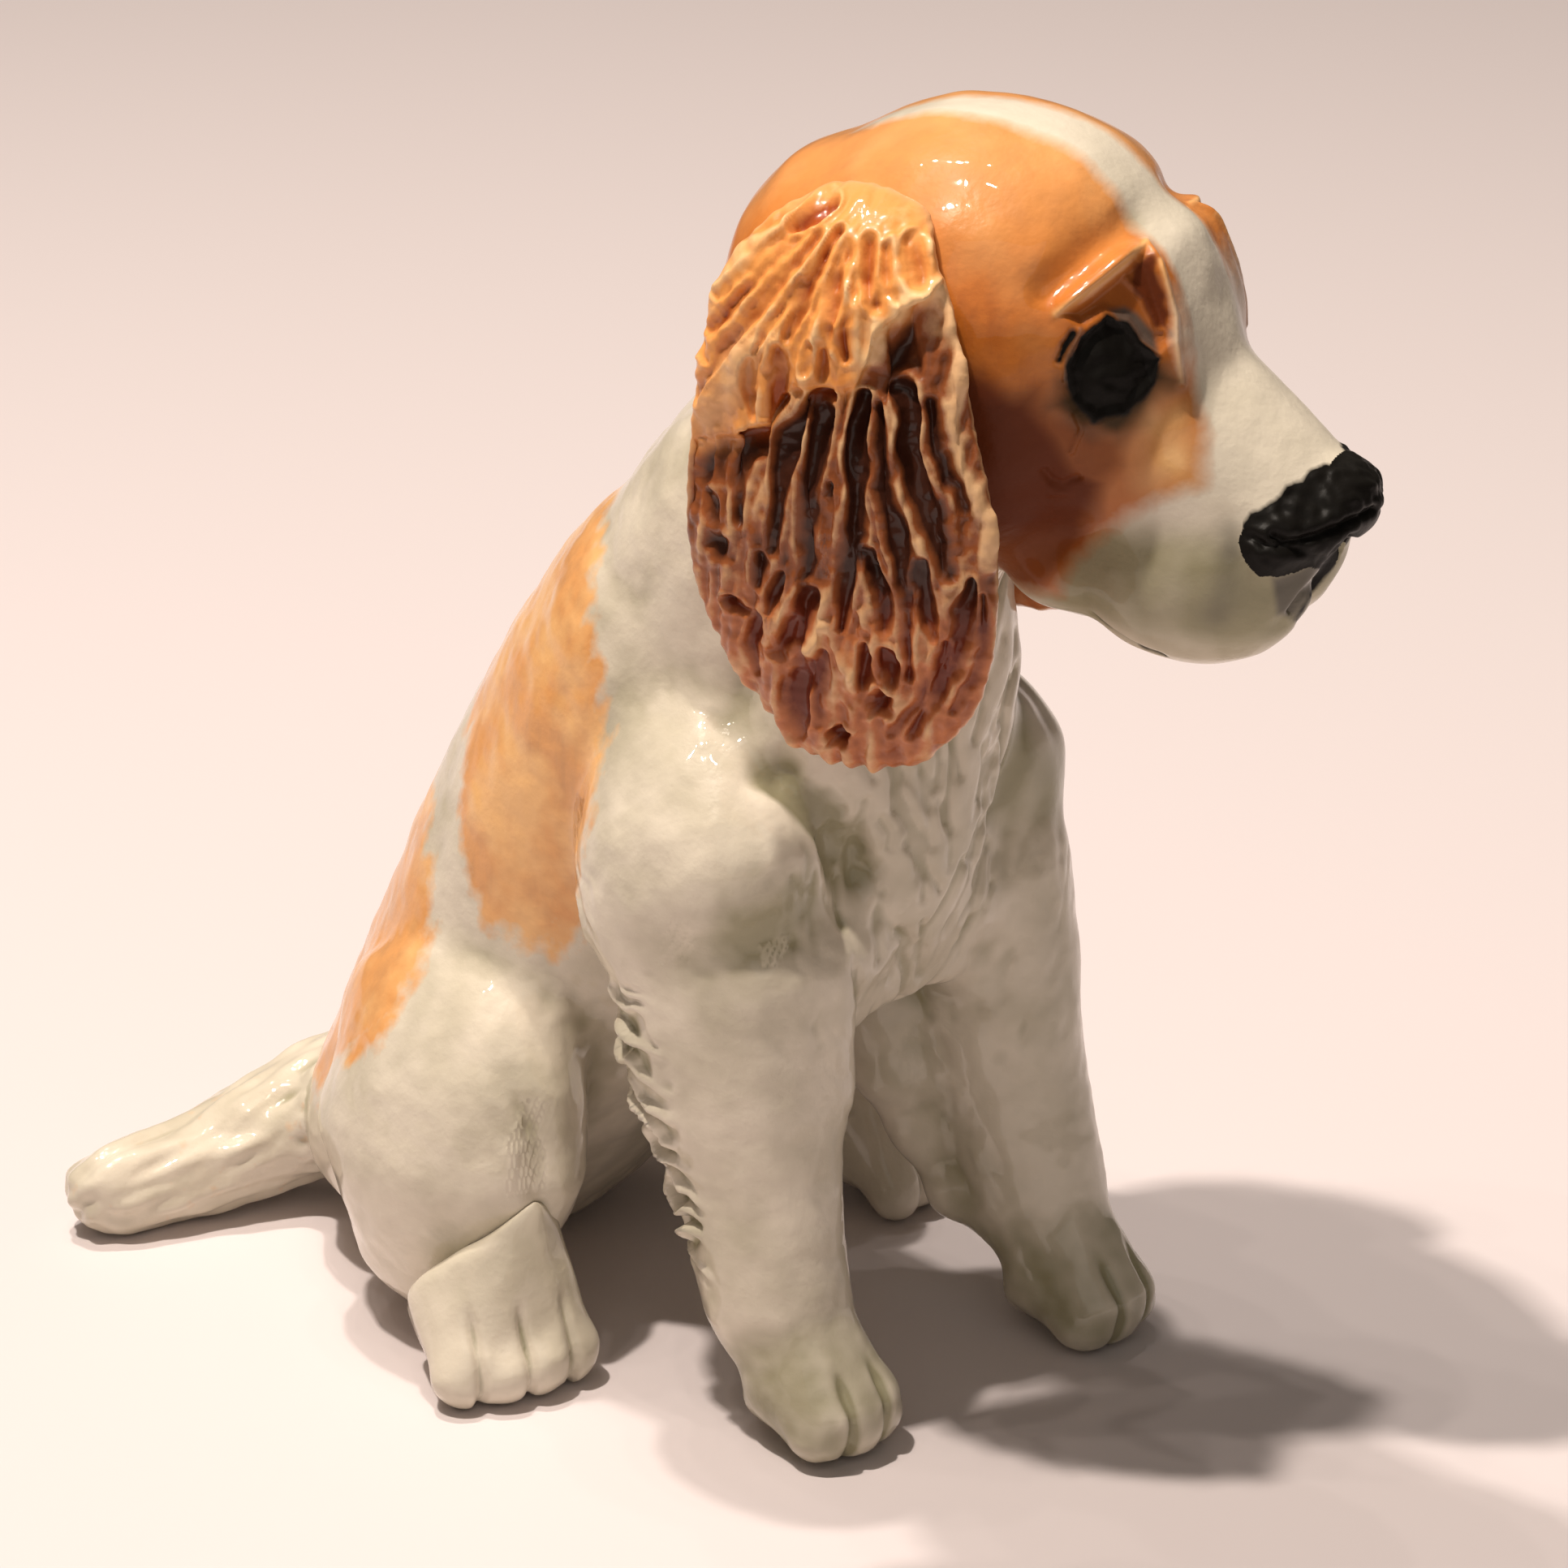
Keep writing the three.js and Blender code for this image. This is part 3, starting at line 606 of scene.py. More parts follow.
# %% Coat patches
LEGS = ("right_front_paw", "left_front_paw", "right_foreleg", "left_foreleg")
BLAZE_MIDDLE = -1.5
BLAZE_ALONG = [-31, -27, -23, -18, -8, 0, 10, 16]
BLAZE_HALF = [9, 6.5, 5.2, 4.2, 3.6, 3, 1.5, -2]
CAP_OUTLINE = [(40, 40), (-22, 40), (-27, 5), (-30, -4), (-30.5, -10.5), (-26, -12), (-23, -14), (-19, -18),
               (-16, -21), (-14, -25.5), (40, -27)]
SADDLE_OUTLINE = [(58, 40), (54, 17), (48, 9), (41, -2), (44, -10), (56, -14), (70, -9), (80, 1), (87, 13),
                  (94, 40)]
HAUNCH_OUTLINE = [(46, 40), (44, 20), (40, 9), (34, 3), (29, -1), (24, -2), (15, 3), (5, 6), (-2, 10),
                  (-4, 40)]
NAPE_ROUNDS = 15
NAPE_REACH = 1.8
BARE = -9
TAIL_TINT = -1.6
COAT_LIMIT = 9


def rings_from(piece, start, rounds):
    """How many edges each point lies away from the starting points, counted up to the rounds."""
    edges = edges_of(piece)
    reached = start.astype(float)
    rings = np.zeros(len(reached))
    for _ in range(rounds):
        rings += reached == 0
        reached = np.minimum(reached + around(reached, *edges), 1)
    return rings


def coat_depth(points):
    head = in_head(points)
    trunk = on_trunk(points)
    blaze = np.abs(head[:, 0] - BLAZE_MIDDLE) - np.interp(head[:, 1], BLAZE_ALONG, BLAZE_HALF)
    cap = np.minimum(blaze, inside(head[:, 1:], CAP_OUTLINE))
    body = np.maximum(inside(trunk, SADDLE_OUTLINE), inside(trunk, HAUNCH_OUTLINE))
    brushed = np.column_stack([trunk[:, 0] / 9, trunk[:, 1] / 2.2, points[:, 0] / 2.2])
    body = body + 2.4 * bumps(brushed, 1, 5.5)
    nape = NAPE_REACH * (1 + bumps(points, 3.5, 2.8)) - SKIN_VOXEL * rings_from(skin, on_head, NAPE_ROUNDS)
    body = np.where(head[:, 1] > 3, np.maximum(body, nape), body)
    body[belongs("tail")] = TAIL_TINT
    body[belongs(*LEGS)] = BARE
    return np.where(on_head, cap, body)


place = points_of(skin)
coat = np.clip(coat_depth(place), BARE, COAT_LIMIT)
note(skin, "coat", coat)
print("Orange share of the points:", round((coat > 0).mean(), 2))

# %% [markdown]
# ## Paint on the face
# Black glaze lies on the nose, in the split lip and on the eyes, where it was smeared. More attributes hold
# thin grey smears; red-brown and olive round the eye and on the cheek, which are partly glaze and partly
# painted shade, with brown growing towards the bottom of the head as painted shade; and places where the
# orange is thin and pale, with pale rims of the eye as a painted highlight. The outlines are drawn in the
# same plane as the strokes.

# %% Outlines of the paint
NO_BLACK = -3.0
EYE_GREY = [(1, 5.6), (2.9, 6), (4.3, 5.3), (6.1, 3.3), (6.6, 0.7), (3.8, 2.3), (1.9, 4.2)]
EYE_OLIVE = [(-4.8, -4.6), (-1.5, -6.7), (2.4, -7.9), (4.9, -5.6), (6.6, -3), (8.9, -1.8), (7, 0.2), (4, 0),
             (-3, 0)]
FACET_BROWN = [(3.8, 10.7), (5.9, 11.8), (6.6, 10.2), (7.5, 7.2), (8, 2.8), (6.1, 3.7), (4.3, 5.6),
               (2.9, 8.4)]
PHILTRUM = [(18.5, -22.1), (21.5, -21.1), (26.5, -17.8), (24.6, -22.2), (21.7, -26.4), (19.3, -26.2)]
CHEEK_SHADE = [(2, 6), (-8.3, 4.2), (-12.8, 1.7), (-15.3, 1.8), (-16.3, -2), (-17.7, -4.5), (-19, -8.5),
               (-21.5, -10.2), (-18.5, -16.5), (-17.5, -19.5), (-13, -26), (4, -28)]
BELOW_EYE = [(-7, -4), (0, -6.5), (3.5, -7.2), (2.8, -10.5), (0.5, -14), (-3, -18), (-9, -15)]
PALE_SPOT = [(7, -6.5), (7.8, -11)]
LIP_SMUDGES = [(1.5, [(14.2, -17.2), (14.6, -18.9)]), (1.8, [(14, -20.3), (13.8, -23.1), (13, -25.8)])]
MOUTH_SPOTS = [
    ([(-9.6, -17.8, -27.6), (-10, -19.4, -28.8)], 0.5),
    ([(-10, -23, -30.4), (-9.9, -25.6, -31)], 0.6),
]
print("Spots and smudges at the mouth:", len(MOUTH_SPOTS) + len(LIP_SMUDGES))


# %% Black and brown glaze
def paint_black(face, points, near, front):
    """Distance inside the black glaze: eyes, nose, split lip and spots at the mouth."""
    seen = drawn(face)[:, :2]
    lip = drawn(points)[:, :2]
    eye = inside(seen, EYE_BLACK) + 0.5 + 0.4 * bumps(face, 2.4, 7.7)
    eye = np.maximum(eye, 0.5 - from_path(seen, REAR_DENT))
    nose = np.where(front > 0.5, inside(seen, NOSE_BLACK) - 2.0 * stroke(seen, NOSE_FOLD, 0.3), NO_BLACK)
    black = np.where(near > 0.5, np.maximum(eye, nose), NO_BLACK)
    for line, width in MOUTH_SPOTS:
        black = np.maximum(black, width - from_path(face, line))
    thickness = np.interp(-lip[:, 1], [18, 21, 24], [1.3, 0.8, 0.35])
    split = (front > 0.5) & (points[:, 0] < LIP_SIDE)
    black = np.maximum(black, np.where(split, thickness - from_path(lip, LIP_LINE), NO_BLACK))
    return np.clip(black, NO_BLACK, -NO_BLACK)


def paint_brown(face, near):
    """Red-brown on the cheek, below the eye and on the facet; cheek and below the eye partly painted shade.
    """
    z = face[:, 2]
    seen = drawn(face)[:, :2]
    # Cheek and below the eye: red-brown that is partly glaze and partly painted shade.
    cheek = ramp(inside(face[:, 1:], CHEEK_SHADE) + 1.2 * bumps(face, 5, 9.1), -2.2, 3)
    below = ramp(inside(seen, BELOW_EYE) + 0.8 * bumps(face, 3, 5.2), -2.5, 2)
    facet = ramp(inside(seen, FACET_BROWN) + 0.6 * bumps(face, 1.5, 4.2), -0.4, 0.8)
    facet = np.maximum(facet, 0.5 * ramp(inside(seen, FACET), 0, 1))
    return np.maximum(cheek * (1 - 0.2 * ramp(-z, 15, 23)), near * np.maximum(0.75 * below, facet))


print("Length of the split lip:", round(sum(map(math.dist, LIP_LINE, LIP_LINE[1:])), 1), "mm")

# %% Painting of the face
PLAIN = {"black": NO_BLACK, "wash": 0.0, "brown": 0.0, "thick": 0.0, "thin": 0.6}
NOSE_PAINT = 0.6
HEAD_BRUSHED = 0.35


def paint_face(points):
    """Attributes of the face's glazes, for points in head coordinates."""
    face = mirrored(points)
    z = face[:, 2]
    flat = drawn(face)
    seen = flat[:, :2]
    near, front = shown(flat, face)
    smudge = sum(stroke(seen, line, width) for width, line in LIP_SMUDGES)
    wash = 0.85 * front * ramp(inside(drawn(points)[:, :2], PHILTRUM), -0.3, 0.8) + 0.4 * near * smudge
    wash = np.maximum(0.9 * near * ramp(inside(seen, EYE_GREY), -0.3, 0.6), wash)
    # Rims of the lid and of the socket's front: paler, a painted highlight along the ridges.
    rims = stroke(seen, LID, 0.45) + stroke(seen, SOCKET_FRONT[1:], 0.35)
    pale = near * stroke(seen, PALE_SPOT, 3.6) * (0.9 + 0.5 * bumps(face, 3, 8.1))
    # Brown growing towards the bottom of the head: painted shade on its lower side.
    painted_shade_below = 0.36 * ramp(-z, -14, 1) * (1 - np.clip(pale, 0, 1))
    brown = np.maximum(paint_brown(face, near), painted_shade_below)
    # Paleness: the pale spot, more towards the top of the head, and the painted highlight on the rims.
    thin = np.maximum(pale + 0.42 * ramp(z, 8, 22), 0.8 * near * rims)
    return {
        "black": paint_black(face, points, near, front),
        # A grey line on the eye's rear rim stands for the rim's highlight, painted.
        "wash": np.clip(wash + 0.6 * near * stroke(seen, REAR_RIM, 0.3), 0, 1),
        "brown": brown * (1 - 0.7 * near * np.clip(rims, 0, 1)),
        # Olive below the eye: partly thick glaze, partly painted shade.
        "thick": near * ramp(inside(seen, EYE_OLIVE) + 0.8 * bumps(face, 2.5, 3.7), -1.8, 1.6),
        "thin": thin,
    }


head = in_head(place[on_head])
for name, values in paint_face(head).items():
    whole = np.full(len(place), PLAIN[name])
    whole[on_head] = values
    if name == "black":
        whole[belongs("nose")] = np.maximum(whole[belongs("nose")], NOSE_PAINT)
    note(skin, name, whole)
note(skin, "brushed", np.where(on_head, HEAD_BRUSHED, 1.0))
print("Painted points on the head:", len(head))

# %% [markdown]
# ## Glaze and painted shade in the hollows
# Glaze runs off ridges and pools in hollows, and shade falls there too; both are painted as one darkening.
# How deep a point lies below its smoothed surroundings tells where, which follows the tool marks better
# than noise. It is kept as an attribute for the glazes. The lower lips, the front feet, the undersides of
# the shoulders and the recesses get more of it, as painted shade.

# %% Pooling and painted shade
POOL_ROUNDS = 30
LIP_PAINTED_SHADE = 0.5
SHOULDER_PAINTED_SHADE = 0.5
RECESS_PAINTED_SHADE = 0.3
PAW_PAINTED_SHADE = 0.42
TAIL_POOL_AND_SHADE = -0.15
BIB_SHARE = 0.75
UNDER_SHOULDER = [(-26, -62, 66), (-19, -65, 69)]


def hollowness(piece):
    first, second = edges_of(piece)
    degree = np.bincount(np.concatenate([first, second]), minlength=len(piece.data.vertices))
    points = points_of(piece)
    smooth = points.T.copy()
    for _ in range(POOL_ROUNDS):
        smooth = np.array([around(axis, first, second) / degree for axis in smooth])
    return ((smooth.T - points) * normals_of(piece)).sum(axis=1)


pool = hollowness(skin)
depth = -in_head(place[on_head])[:, 2]
body = mirrored(place)
# Painted shade: the lower part of the face, which looks down at the table, is darkened grey-green.
pool[on_head] += LIP_PAINTED_SHADE * ramp(depth, 13, 20) * (1 - 0.5 * ramp(depth, 25, 30))
# The tail gets less of the pooled glaze and painted shade, so it stays lighter.
pool[belongs("tail")] += TAIL_POOL_AND_SHADE
pool[belongs("chest_fur")] *= BIB_SHARE
# Painted shade on the underside of the shoulder bulge, which faces down.
pool += SHOULDER_PAINTED_SHADE * stroke(body, UNDER_SHOULDER, 5.5)
# Painted shade in the recess between the bib and each shoulder.
pool += RECESS_PAINTED_SHADE * stroke(body, BODY_STROKES["recess"][2], 3)
# Painted shade on the lower forelegs and front paws, which lie in the shadow of the head and chest.
pool[belongs(*LEGS)] += PAW_PAINTED_SHADE * ramp(-place[belongs(*LEGS)][:, 2], -24, -5)
note(skin, "pool", pool)
print("Deepest pool:", round(pool.max(), 2), "mm")

# %% [markdown]
# ## Cutting the skin into its lumps
# On the real figure the lumps can't be told apart any more, but here each stays a piece. Each face of the
# skin goes to the lump it lies nearest to, and separating by material cuts the skin there. The cut rims are
# turned into the clay and drawn to a point, which closes each piece. A piece with too many triangles is
# thinned out away from its rim. The normals of the whole skin are kept, so the joints don't show in the
# gloss.

# %% Turning the rims in
RIM_DEPTH = 1.5
MOST_TRIANGLES = 180000


def kept_normals(piece):
    flat = np.empty(3 * len(piece.data.vertices), np.float32)
    piece.data.attributes["skin_normal"].data.foreach_get("vector", flat)
    kept = flat.reshape(-1, 3).astype(float)
    lengths = np.linalg.norm(kept, axis=1, keepdims=True)
    return np.where(lengths > 0.5, kept / np.maximum(lengths, 1e-6), [0, 0, 1])


def sink(piece, depth):
    """Moves the selected points into the clay."""
    bpy.ops.object.mode_set(mode="OBJECT")
    chosen = np.empty(len(piece.data.vertices), bool)
    piece.data.vertices.foreach_get("select", chosen)
    move_to(piece, points_of(piece) - depth * chosen[:, None] * kept_normals(piece))
    bpy.ops.object.mode_set(mode="EDIT")


def close_rims(piece):
    pick(piece)
    bpy.ops.object.mode_set(mode="EDIT")
    bpy.ops.mesh.select_all(action="DESELECT")
    bpy.ops.mesh.select_mode(type="EDGE")
    bpy.ops.mesh.select_non_manifold(extend=False)
    bpy.ops.mesh.extrude_edges_move()
    sink(piece, RIM_DEPTH)
    bpy.ops.mesh.extrude_edges_move()
    bpy.ops.mesh.merge(type="COLLAPSE")
    sink(piece, 2 * RIM_DEPTH)
    bpy.ops.object.mode_set(mode="OBJECT")


def thin_out(piece):
    """Takes points away from a piece with too many triangles, but none near its rim."""
    triangles = 2 * len(piece.data.polygons)
    if triangles > MOST_TRIANGLES:
        pick(piece)
        thinning = piece.modifiers.new("Thin out", "DECIMATE")
        thinning.ratio = MOST_TRIANGLES / triangles
        thinning.vertex_group = "plain"
        bpy.ops.object.modifier_apply(modifier=thinning.name)
    piece.vertex_groups.clear()


print("Rims go", 3 * RIM_DEPTH, "mm into the clay")

# %% Separate pieces
JOINT_ROUNDS = 6
first, second = edges_of(skin)
crossing = owner[first] != owner[second]
joint = np.zeros(len(owner), bool)
joint[np.concatenate([first[crossing], second[crossing]])] = True
plain = skin.vertex_groups.new(name="plain")
away = rings_from(skin, joint, JOINT_ROUNDS)
plain.add(np.flatnonzero(away == JOINT_ROUNDS).tolist(), 1.0, "REPLACE")
layer = skin.data.attributes.new("skin_normal", "FLOAT_VECTOR", "POINT")
layer.data.foreach_set("vector", normals_of(skin).astype(np.float32).ravel())
for name in SKIN_NODES:
    skin.data.materials.append(bpy.data.materials.new(name))
face_owner = np.array([owner[face.vertices[0]] for face in skin.data.polygons], np.int32)
skin.data.polygons.foreach_set("material_index", face_owner)
pick(skin)
bpy.ops.object.mode_set(mode="EDIT")
bpy.ops.mesh.select_all(action="SELECT")
bpy.ops.mesh.separate(type="MATERIAL")
bpy.ops.object.mode_set(mode="OBJECT")
cut = list(bpy.context.selected_objects)
pieces = {}
for piece in cut:
    node = piece.data.materials[piece.data.polygons[0].material_index].name
    piece.name = f"{node}_clay"
    close_rims(piece)
    thin_out(piece)
    pieces[node] = piece
print("Pieces:", len(pieces), "faces:", {name: len(item.data.polygons) for name, item in pieces.items()})

# %% Normals of the whole skin
for piece in pieces.values():
    normals = kept_normals(piece)
    piece.data.shade_smooth()
    piece.data.normals_split_custom_set_from_vertices(normals.tolist())
    piece.data.attributes.remove(piece.data.attributes["skin_normal"])
print("Normals kept on", len(pieces), "pieces")

# %% [markdown]
# ## Ears
# The ears take the most tooling. Noise alone would not give locks that hang, so each groove is a cut of its
# own. The CAD plate gives the outline; its coarse carving is smoothed away and cut again with a loop tool.
# Every groove is a depth, a width and a line in head coordinates (y, z). Short locks fan out over the upper
# tier, which ends in points and, at the front, in a flap rolled over a hollow. Long locks hang below it,
# and near the tip they curl like flames.

# %% Ear grooves
TIER_END = [(-8, 17), (-4.7, 11.7), (-2, 9.8), (0, 7.8), (1, 4.5), (1.8, 2), (4, 1.6), (6, 1.4), (8.7, 1.6),
            (10, 0), (11, -2.5), (13, -3.7), (16, -5), (19, -6), (22, -7)]
UPPER_CUTS = [
    (1.3, 0.9, [(11, 17.2), (9.5, 18), (7.7, 18.8)]),
    (0.8, 0.7, [(6, 16.5), (6.7, 13.5), (8, 11), (9, 8.5), (9.8, 6)]),
    (0.9, 1.2, [(4.5, 15), (4.8, 11.5), (4.3, 8), (3, 5)]),
    (0.8, 0.7, [(2.5, 16.5), (1.6, 13), (0.3, 10.3)]),
    (0.7, 0.6, [(0.6, 15.8), (-0.6, 13.2), (-1.6, 11)]),
    (0.7, 0.7, [(-1.5, 16.5), (-2.8, 14.3), (-4, 12.5)]),
    (0.7, 0.8, [(8, 16), (10.5, 12.5), (13, 9), (15.5, 5.5)]),
    (0.6, 0.7, [(9.5, 16.3), (13, 12.3), (16.5, 8.5), (19.5, 5)]),
    (0.6, 0.7, [(11.5, 15.8), (15.5, 11.8), (18.5, 9)]),
    (0.6, 0.6, [(8.8, 12), (11.2, 8.2), (13, 4.5)]),
    (1.0, 1.0, [(10.6, 5), (10.8, 1.5), (11.2, -2)]),
    (0.7, 0.7, [(6.9, 6), (7.2, 3)]),
    (0.6, 0.6, [(5.5, 5.5), (5.6, 2.5)]),
    (0.6, 0.8, [(15.5, 6), (18, 2.5), (20.5, -2)]),
    (0.6, 0.7, [(13.5, 3.5), (14, 0.5), (13.2, -2.5)]),
    (0.6, 0.9, [(19.8, 3.6), (19.2, 2.4)]),
]
LOWER_CUTS = [
    (0.9, 1.2, [(14.5, -4.8), (17, -6.8), (19.5, -10), (21, -13)]),
    (1.6, 0.9, [(10.5, 0), (13, -4), (14.5, -7), (15, -10.5), (14.6, -14)]),
    (1.8, 0.8, [(5.2, 0.8), (7.5, -1.2), (9, -4), (10, -8), (10.2, -12), (10.5, -16.5)]),
    (1.6, 0.8, [(5.3, -0.8), (5.6, -4), (6, -8), (6.2, -13), (6.5, -17), (7.2, -19.8)]),
    (0.9, 0.6, [(4.2, -8.5), (4.7, -11.5), (4.4, -14.5)]),
    (1.9, 0.8, [(1, 1), (1.5, -4), (1.2, -8), (1, -12), (1.2, -15), (2, -20), (2.6, -24)]),
    (1.8, 0.8, [(-0.5, 0), (-1, -4), (-1.5, -8), (-3, -11), (-3.6, -13.5), (-4.2, -16.5), (-4.5, -20),
                (-4.6, -29)]),
    (2.0, 1.0, [(-3.5, 2), (-4.5, -4), (-6, -9), (-7, -12), (-8, -14.2), (-9.2, -17)]),
    (1.2, 0.7, [(-6, 1), (-7.3, -4), (-8.5, -6.5), (-10, -10)]),
    (1.4, 0.8, [(-0.3, -15.5), (-2, -19.5), (-2.3, -23.5)]),
    (1.6, 1.0, [(-2.2, -26.5), (-2.6, -29.5)]),
    (1.2, 0.7, [(-5.8, -16), (-6.5, -21), (-7.3, -24.3)]),
    (1.3, 0.8, [(-11, -18), (-10.5, -22.5), (-9, -27.5), (-6.5, -32), (-4, -36)]),
    (1.0, 0.6, [(-8.5, -25), (-7.5, -28), (-6, -31), (-2, -36)]),
    (0.9, 0.6, [(-12.2, -19.5), (-12.4, -23), (-11, -29), (-9, -33)]),
    (1.8, 1.2, [(6.5, -21.3), (8.3, -25), (9.6, -28)]),
    (1.1, 0.7, [(12.5, -24.3), (13.5, -28), (13.2, -31.5)]),
    (1.4, 1.3, [(7, -29), (8.3, -32.5), (8.8, -37.5)]),
    (1.1, 0.7, [(5, -27.5), (5.6, -32), (6.2, -36)]),
    (1.0, 0.7, [(0.2, -26), (0, -29.5), (1.5, -32.3)]),
    (1.4, 1.0, [(3.7, -37.2), (3.3, -37.8)]),
    (1.5, 1.0, [(-1.3, -32.3), (-2.1, -33.2)]),
    (1.1, 1.2, [(17.2, -17), (15.8, -18)]),
    (1.3, 1.0, [(16, -23), (14.3, -24)]),
    (1.0, 0.7, [(19, -12), (17.5, -15)]),
    (0.9, 0.7, [(12.2, -17.5), (12, -21)]),
    (0.9, 0.6, [(9.8, -19.5), (11, -23.5)]),
]
EAR_RIDGES = [
    (1.0, 0.9, [(-4.7, 12.2), (-2, 10.3), (-0.2, 8.3), (0.8, 5)]),
    (0.8, 0.8, [(-4, 16), (-6, 14), (-6.5, 11), (-7.2, 8.5), (-8.2, 6), (-8.5, 2), (-8.6, -2), (-9.2, -5),
                (-11, -8.5), (-12.5, -11.5), (-13, -16)]),
    (0.5, 0.5, [(5, 15.5), (3.8, 12.5), (2.8, 10.5)]),
    (0.5, 0.5, [(0.3, 16.5), (-0.8, 14), (-1.5, 11.5)]),
    (0.6, 0.6, [(4.3, -23.7), (6.2, -26.8), (8, -30)]),
    (0.6, 0.6, [(4.3, -23.7), (2.6, -27.5), (1.2, -31)]),
    (0.5, 0.5, [(0.3, -22), (-1.2, -24.5), (0, -26.5)]),
]
HOLLOW = [(-4.4, 10), (-0.7, 6.9), (0.4, 3.2), (0, 0.2), (-3, 1.5), (-5.2, 4.5)]
PAINTED_HIGHLIGHT_LOCK = [(14.6, 4), (16.5, -0.5), (19, -4)]
print("Cuts in each ear:", len(UPPER_CUTS) + len(LOWER_CUTS), "ridges:", len(EAR_RIDGES))

# %% Carving an ear
FAN_AT = (2, 25)
FAN_RADIUS = 22
HOLLOW_DEPTH = 1.5
STEP_DEPTH = 0.9


def gouges(flat, cuts, rim, swing, fade):
    """Wedge-shaped troughs that fade along their line, and the rims a loop tool leaves beside them."""
    floor = np.zeros(len(flat))
    edge = np.zeros(len(flat))
    for depth, width, line in cuts:
        away, share = near_path(flat, line)
        away = away / (width * swing * (0.65 + 0.6 * np.sin(np.pi * (0.15 + 0.8 * share))))
        deep = depth * (1 - fade * share**1.5)
        floor = np.maximum(floor, deep * np.exp(-(away**2.4)))
        edge = np.maximum(edge, deep * np.exp(-(((away - 1.5) / 0.45) ** 2)))
    return rim * edge - floor


def carve_ear(piece, side):
    head = in_head(points_of(piece))
    flat = head[:, 1:]
    y, z = flat.T
    sheet = np.column_stack([y, z, np.zeros_like(y)])
    outward = normals_of(piece) @ (SIDES[side] * head_axes[0])
    face = ramp(outward, -0.1, 0.45)
    drawn_to = flat + 0.4 * np.column_stack([bumps(sheet, 3.5, 2.3), bumps(sheet, 3.5, 7.9)])
    grain = bumps(sheet, 1.1, 5.9)
    below = np.interp(y, *np.transpose(TIER_END)) - z
    lower = ramp(below, -0.3, 0.5)
    turn = np.arctan2(y - FAN_AT[0], FAN_AT[1] - z)
    reach = np.hypot(y - FAN_AT[0], FAN_AT[1] - z)
    fan = bumps(np.column_stack([turn * FAN_RADIUS / 1.6, reach / 7, 0 * y]), 1, 3.3) * ramp(reach, 7, 14)
    hang = bumps(np.column_stack([(y + 0.12 * z) / 1.2, z / 7, 0 * y]), 1, 6.1)
    combed = np.where(lower > 0.5, 0.6 * hang, 0.9 * fan) + 0.22 * grain
    swing = 0.85 + 0.5 * bumps(sheet, 4.5, 1.7)
    carved = gouges(drawn_to, UPPER_CUTS, rim=0.35, swing=swing, fade=0.2)
    hanging = gouges(drawn_to, LOWER_CUTS, rim=0.3, swing=1.25 * swing, fade=0.55)
    carved = np.where(lower > 0.5, hanging, carved)
    ridges = sum(height * stroke(drawn_to, line, width) for height, width, line in EAR_RIDGES)
    hollow = -HOLLOW_DEPTH * ramp(inside(flat, HOLLOW), -0.3, 1.6)
    step = -STEP_DEPTH * lower * (1 - ramp(below, 3, 12))
    cut = carved + ridges + combed
    push(piece, face * (cut + hollow + step) + (1 - face) * 0.2 * grain)
    # Tone: deep cuts dark and rims light; the dark troughs and the hollow under the flap are partly painted
    # shade.
    tone = np.clip((cut + 0.5 * hollow + 1.2) / 1.9, 0, 1.3) * face + 0.65 * (1 - face)
    note(piece, "tone", tone)
    note(piece, "lower", lower * ramp(below, -0.5, 2.5))
    note(piece, "tip", ramp(-z, 17, 26))
    # Pale: the ear's edges, and a painted highlight on a lock of the upper tier.
    note(piece, "pale", np.maximum(stroke(flat, PAINTED_HIGHLIGHT_LOCK, 2.2), (1 - face) * (outward > -0.6)))


print("The step between the tiers is", STEP_DEPTH, "mm")

# %% Both ears
EAR_VOXEL = 0.27
EAR_SWELL = 0.1
EAR_ROUNDS = 100
for side in SIDES:
    node = f"{side}_ear"
    ear = lump(node, EAR_SWELL)
    remesh(ear, EAR_VOXEL)
    soften(ear, EAR_ROUNDS)
    carve_ear(ear, side)
    soften(ear, 1)
    ear.data.shade_smooth()
    ear.name = f"{node}_carved"
    pieces[node] = ear
    print(node, len(ear.data.polygons), "faces")

# %% [markdown]
# ## Hind feet
# A hind foot is a slab laid against the thigh, with toes pressed in. Melted into the skin it would lose its
# crisp edge, so it stays apart. Its inner corner is pulled up and its front leans back, so that it makes a
# wedge.

# %% Hind feet
FOOT_SWELL = 0.2
FOOT_ROUNDS = 60
FOOT_RISE = 0.2
FOOT_LEAN = 0.15
FOOT_UNEVEN = 0.25
HIND_FOOT_POOL_AND_SHADE = -0.2
for side in SIDES:
    foot = lump(f"{side}_hind_foot", FOOT_SWELL)
    remesh(foot, SKIN_VOXEL)
    soften(foot, FOOT_ROUNDS)
    place = points_of(foot)
    inward = -SIDES[side] * OUTWARD * place[:, 0] - BACKWARD * place[:, 1]
    inward -= inward.mean()
    place[:, 2] *= 1 + FOOT_RISE * ramp(inward, -2, 9)
    place[:, 1] += FOOT_LEAN * np.maximum(place[:, 2] - 6, 0)
    move_to(foot, place)
    push(foot, toe_grooves(place, side, "hind_foot") + FOOT_UNEVEN * bumps(place, 6, 1.7))
    soften(foot, 1)
    press_flat(foot)
    for name, value in {**PLAIN, "coat": BARE, "brushed": 1.0}.items():
        note(foot, name, np.full(len(place), value))
    # The hind feet get less of the pooled glaze and painted shade, so they stay lighter.
    note(foot, "pool", hollowness(foot) + HIND_FOOT_POOL_AND_SHADE)
    foot.data.shade_smooth()
    foot.name = f"{side}_hind_foot_clay"
    pieces[f"{side}_hind_foot"] = foot
print("Pieces in all:", len(pieces))

# %% [markdown]
# ## Glazes
# A small class saves wiring every node by hand. Each of its methods adds a node and returns its output, so
# that a glaze reads as a few lines from the first noise to the colour.


